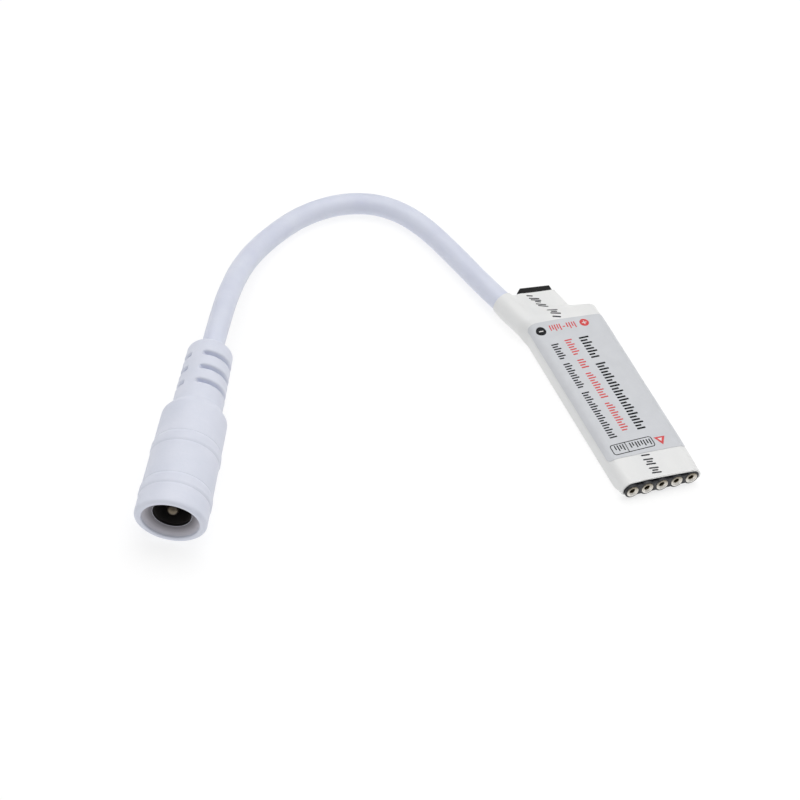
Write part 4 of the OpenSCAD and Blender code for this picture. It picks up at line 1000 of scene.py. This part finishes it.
# Bore and funnel, the head's rim and back, the shell, the tail and the bore's end
contact_profile = (
    [(BORE_END, bore_r), (0.18, bore_r), (0.13, bore_r + 0.02), (0.07, mix(bore_r, mouth_r, 0.3)),
     (-0.01, mix(bore_r, mouth_r, 0.66)), (-0.075, mouth_r - 0.04), (-0.105, mouth_r - 0.01),
     (HEAD_FRONT, mouth_r + 0.02), (HEAD_FRONT, head_r - HEAD_ROUND)]
    + arc(HEAD_FRONT + HEAD_ROUND, head_r - HEAD_ROUND, HEAD_ROUND, -90, 0)[1:]
    + [(0.2, head_r), (0.23, head_r - 0.02), (0.23, shell_r + 0.02), (0.25, shell_r), (SHELL_BACK, shell_r),
       (SHELL_BACK, TAIL_D / 2), (TAIL_END - 0.1, TAIL_D / 2), (TAIL_END, TAIL_D / 2 - 0.08), (TAIL_END, MIDDLE_R),
       (BORE_END, MIDDLE_R)])
# The sockets' colour carries painted light and shade
new_piece("contact_sockets", make_contacts(contact_profile), "tinned_contact", CONTACT_CREASE, ["contact_shells"])

FINGERS, FINGER_STEPS = 4, 9
RING_END, RING_GAP, FINGER_GAP = 0.4, 1.5, 9.0
clip_r = bore_r - 0.02
pin_r = CLIP_BORE / 2
# Distance from the face, inner and outer radius: the ring, then the fingers closing on the pin
CLIP_ROWS = [(0.16, clip_r - 0.04, clip_r), (0.24, clip_r - 0.08, clip_r), (0.5, pin_r + 0.03, clip_r - 0.02),
             (0.85, pin_r, pin_r + 0.12), (1.5, pin_r, pin_r + 0.11), (CLIP_BACK, pin_r + 0.02, pin_r + 0.12)]


def make_clips():
    """Four sprung fingers in each contact."""
    points, faces = [], []
    n = FINGER_STEPS
    ring = 2 * n
    sides = [edge for k in range(n - 1) for edge in ((k, k + 1), (n + k + 1, n + k))] + [(n, 0), (n - 1, ring - 1)]
    for i in range(CONTACT_COUNT):
        for finger in range(FINGERS):
            start = len(points)
            for t, inside, outside in CLIP_ROWS:
                gap = RING_GAP if t < RING_END else FINGER_GAP
                for r in (inside, outside):
                    for k in range(n):
                        a = radians(90 * finger + 45 + gap / 2 + (90 - gap) * k / (n - 1))
                        points.append((contact_x(i) + r * cos(a), FACE_Y + t, AXIS_Z + r * sin(a)))
            for j in range(len(CLIP_ROWS) - 1):
                a, b = start + j * ring, start + (j + 1) * ring
                faces += [(a + p, a + q, b + q, b + p) for p, q in sides]
            faces += grid_faces(2, n, start, flip=True)
            faces += [f[::-1] for f in grid_faces(2, n, start + (len(CLIP_ROWS) - 1) * ring, flip=True)]
    return mesh_from(points, faces)


# The springs' colour carries painted shade
new_piece("contact_springs", make_clips(), "gold_clip", CONTACT_CREASE, ["contact_clips"])


# Finishes of the CAD nodes that stay
NODE_MATERIALS = {
    "circuit_board": "board_mask", "board_pads": "copper_gold", "antenna_trace": "copper_gold",
    "output_solder": "solder_tin", "output_transistors": "chip_black", "gate_resistors": "resistor_film",
    "microcontroller": "chip_black", "radio_receiver": "chip_black", "crystal": "can_steel",
    "voltage_regulator": "chip_black", "input_capacitor": "ceramic_tan", "regulator_capacitor": "ceramic_tan",
    "bypass_capacitors": "ceramic_tan", "bias_resistors": "resistor_film", "matching_inductor": "coil_grey",
    "positive_lead": "core_red", "negative_lead": "core_black", "lead_conductors": "tinned_wire",
    "lead_solder": "solder_tin", "jack_insulator": "insert_black", "jack_centre_pin": "pin_nickel",
    "jack_spring_contact": "leaf_brass", "jack_inner_shell": "inner_grey", "jack_positive_lead": "core_red",
    "jack_negative_lead": "core_black", "jack_solder": "solder_tin",
}
for name, finish in NODE_MATERIALS.items():
    for material_slot in nodes[name].material_slots:
        material_slot.material = MATERIALS[finish]


# Floor and soft light; the floor glows, so that it stays pale where the part shades it
FLOOR_HALF, FLOOR_CELLS, FLOOR_DROP = 3, 8, 0.00002
FLOOR_DARK, FLOOR_LIGHT, FLOOR_GLOW, FLOOR_ROUGH, FLOOR_SPECULAR = 0.29, 0.31, 0.74, 0.9, 0.1


def make_floor():
    bm = bmesh.new()
    bmesh.ops.create_grid(bm, x_segments=FLOOR_CELLS, y_segments=FLOOR_CELLS, size=FLOOR_HALF)
    floor = bpy.data.objects.new("floor", mesh_of(bm))
    floor.location = (0, 0, -FLOOR_DROP)
    m = Nodes("floor_white")
    greys = [(0.3, (FLOOR_DARK,) * 3), (0.7, (FLOOR_LIGHT,) * 3)]
    m.link(m.ramp(m.noise(3.0, 2), greys), m.shader.inputs["Base Color"])
    put(m.shader, Emission_Color=(1, 1, 1, 1), Emission_Strength=FLOOR_GLOW, Roughness=FLOOR_ROUGH,
        Specular_IOR_Level=FLOOR_SPECULAR)
    floor.data.materials.append(m.material)
    scene.collection.objects.link(floor)


make_floor()

SURROUND = 0.335
world = bpy.data.worlds.new("studio")
world.use_nodes = True
put(world.node_tree.nodes["Background"], Color=(1, 1, 1, 1), Strength=SURROUND)
scene.world = world

# Name, place in metres, width and watts of each round light
LIGHTS = [("key", (0.1, 0.4, 0.8), 1.0, 2.0), ("top", (0.0, 0.0, 0.9), 1.0, 3.8),
          ("left", (-0.8, 0.0, 0.45), 0.8, 0.4), ("right", (0.75, 0.0, 0.5), 0.8, 0.95)]
LIT_PLACE = Vector((-0.03, 0.01, 0.0))
for name, place, size, power in LIGHTS:
    data = bpy.data.lights.new(name, "AREA")
    data.shape = "DISK"
    data.size = size
    data.energy = power
    light = bpy.data.objects.new(name, data)
    light.location = place
    light.rotation_euler = (LIT_PLACE - Vector(place)).to_track_quat("-Z", "Y").to_euler()
    scene.collection.objects.link(light)
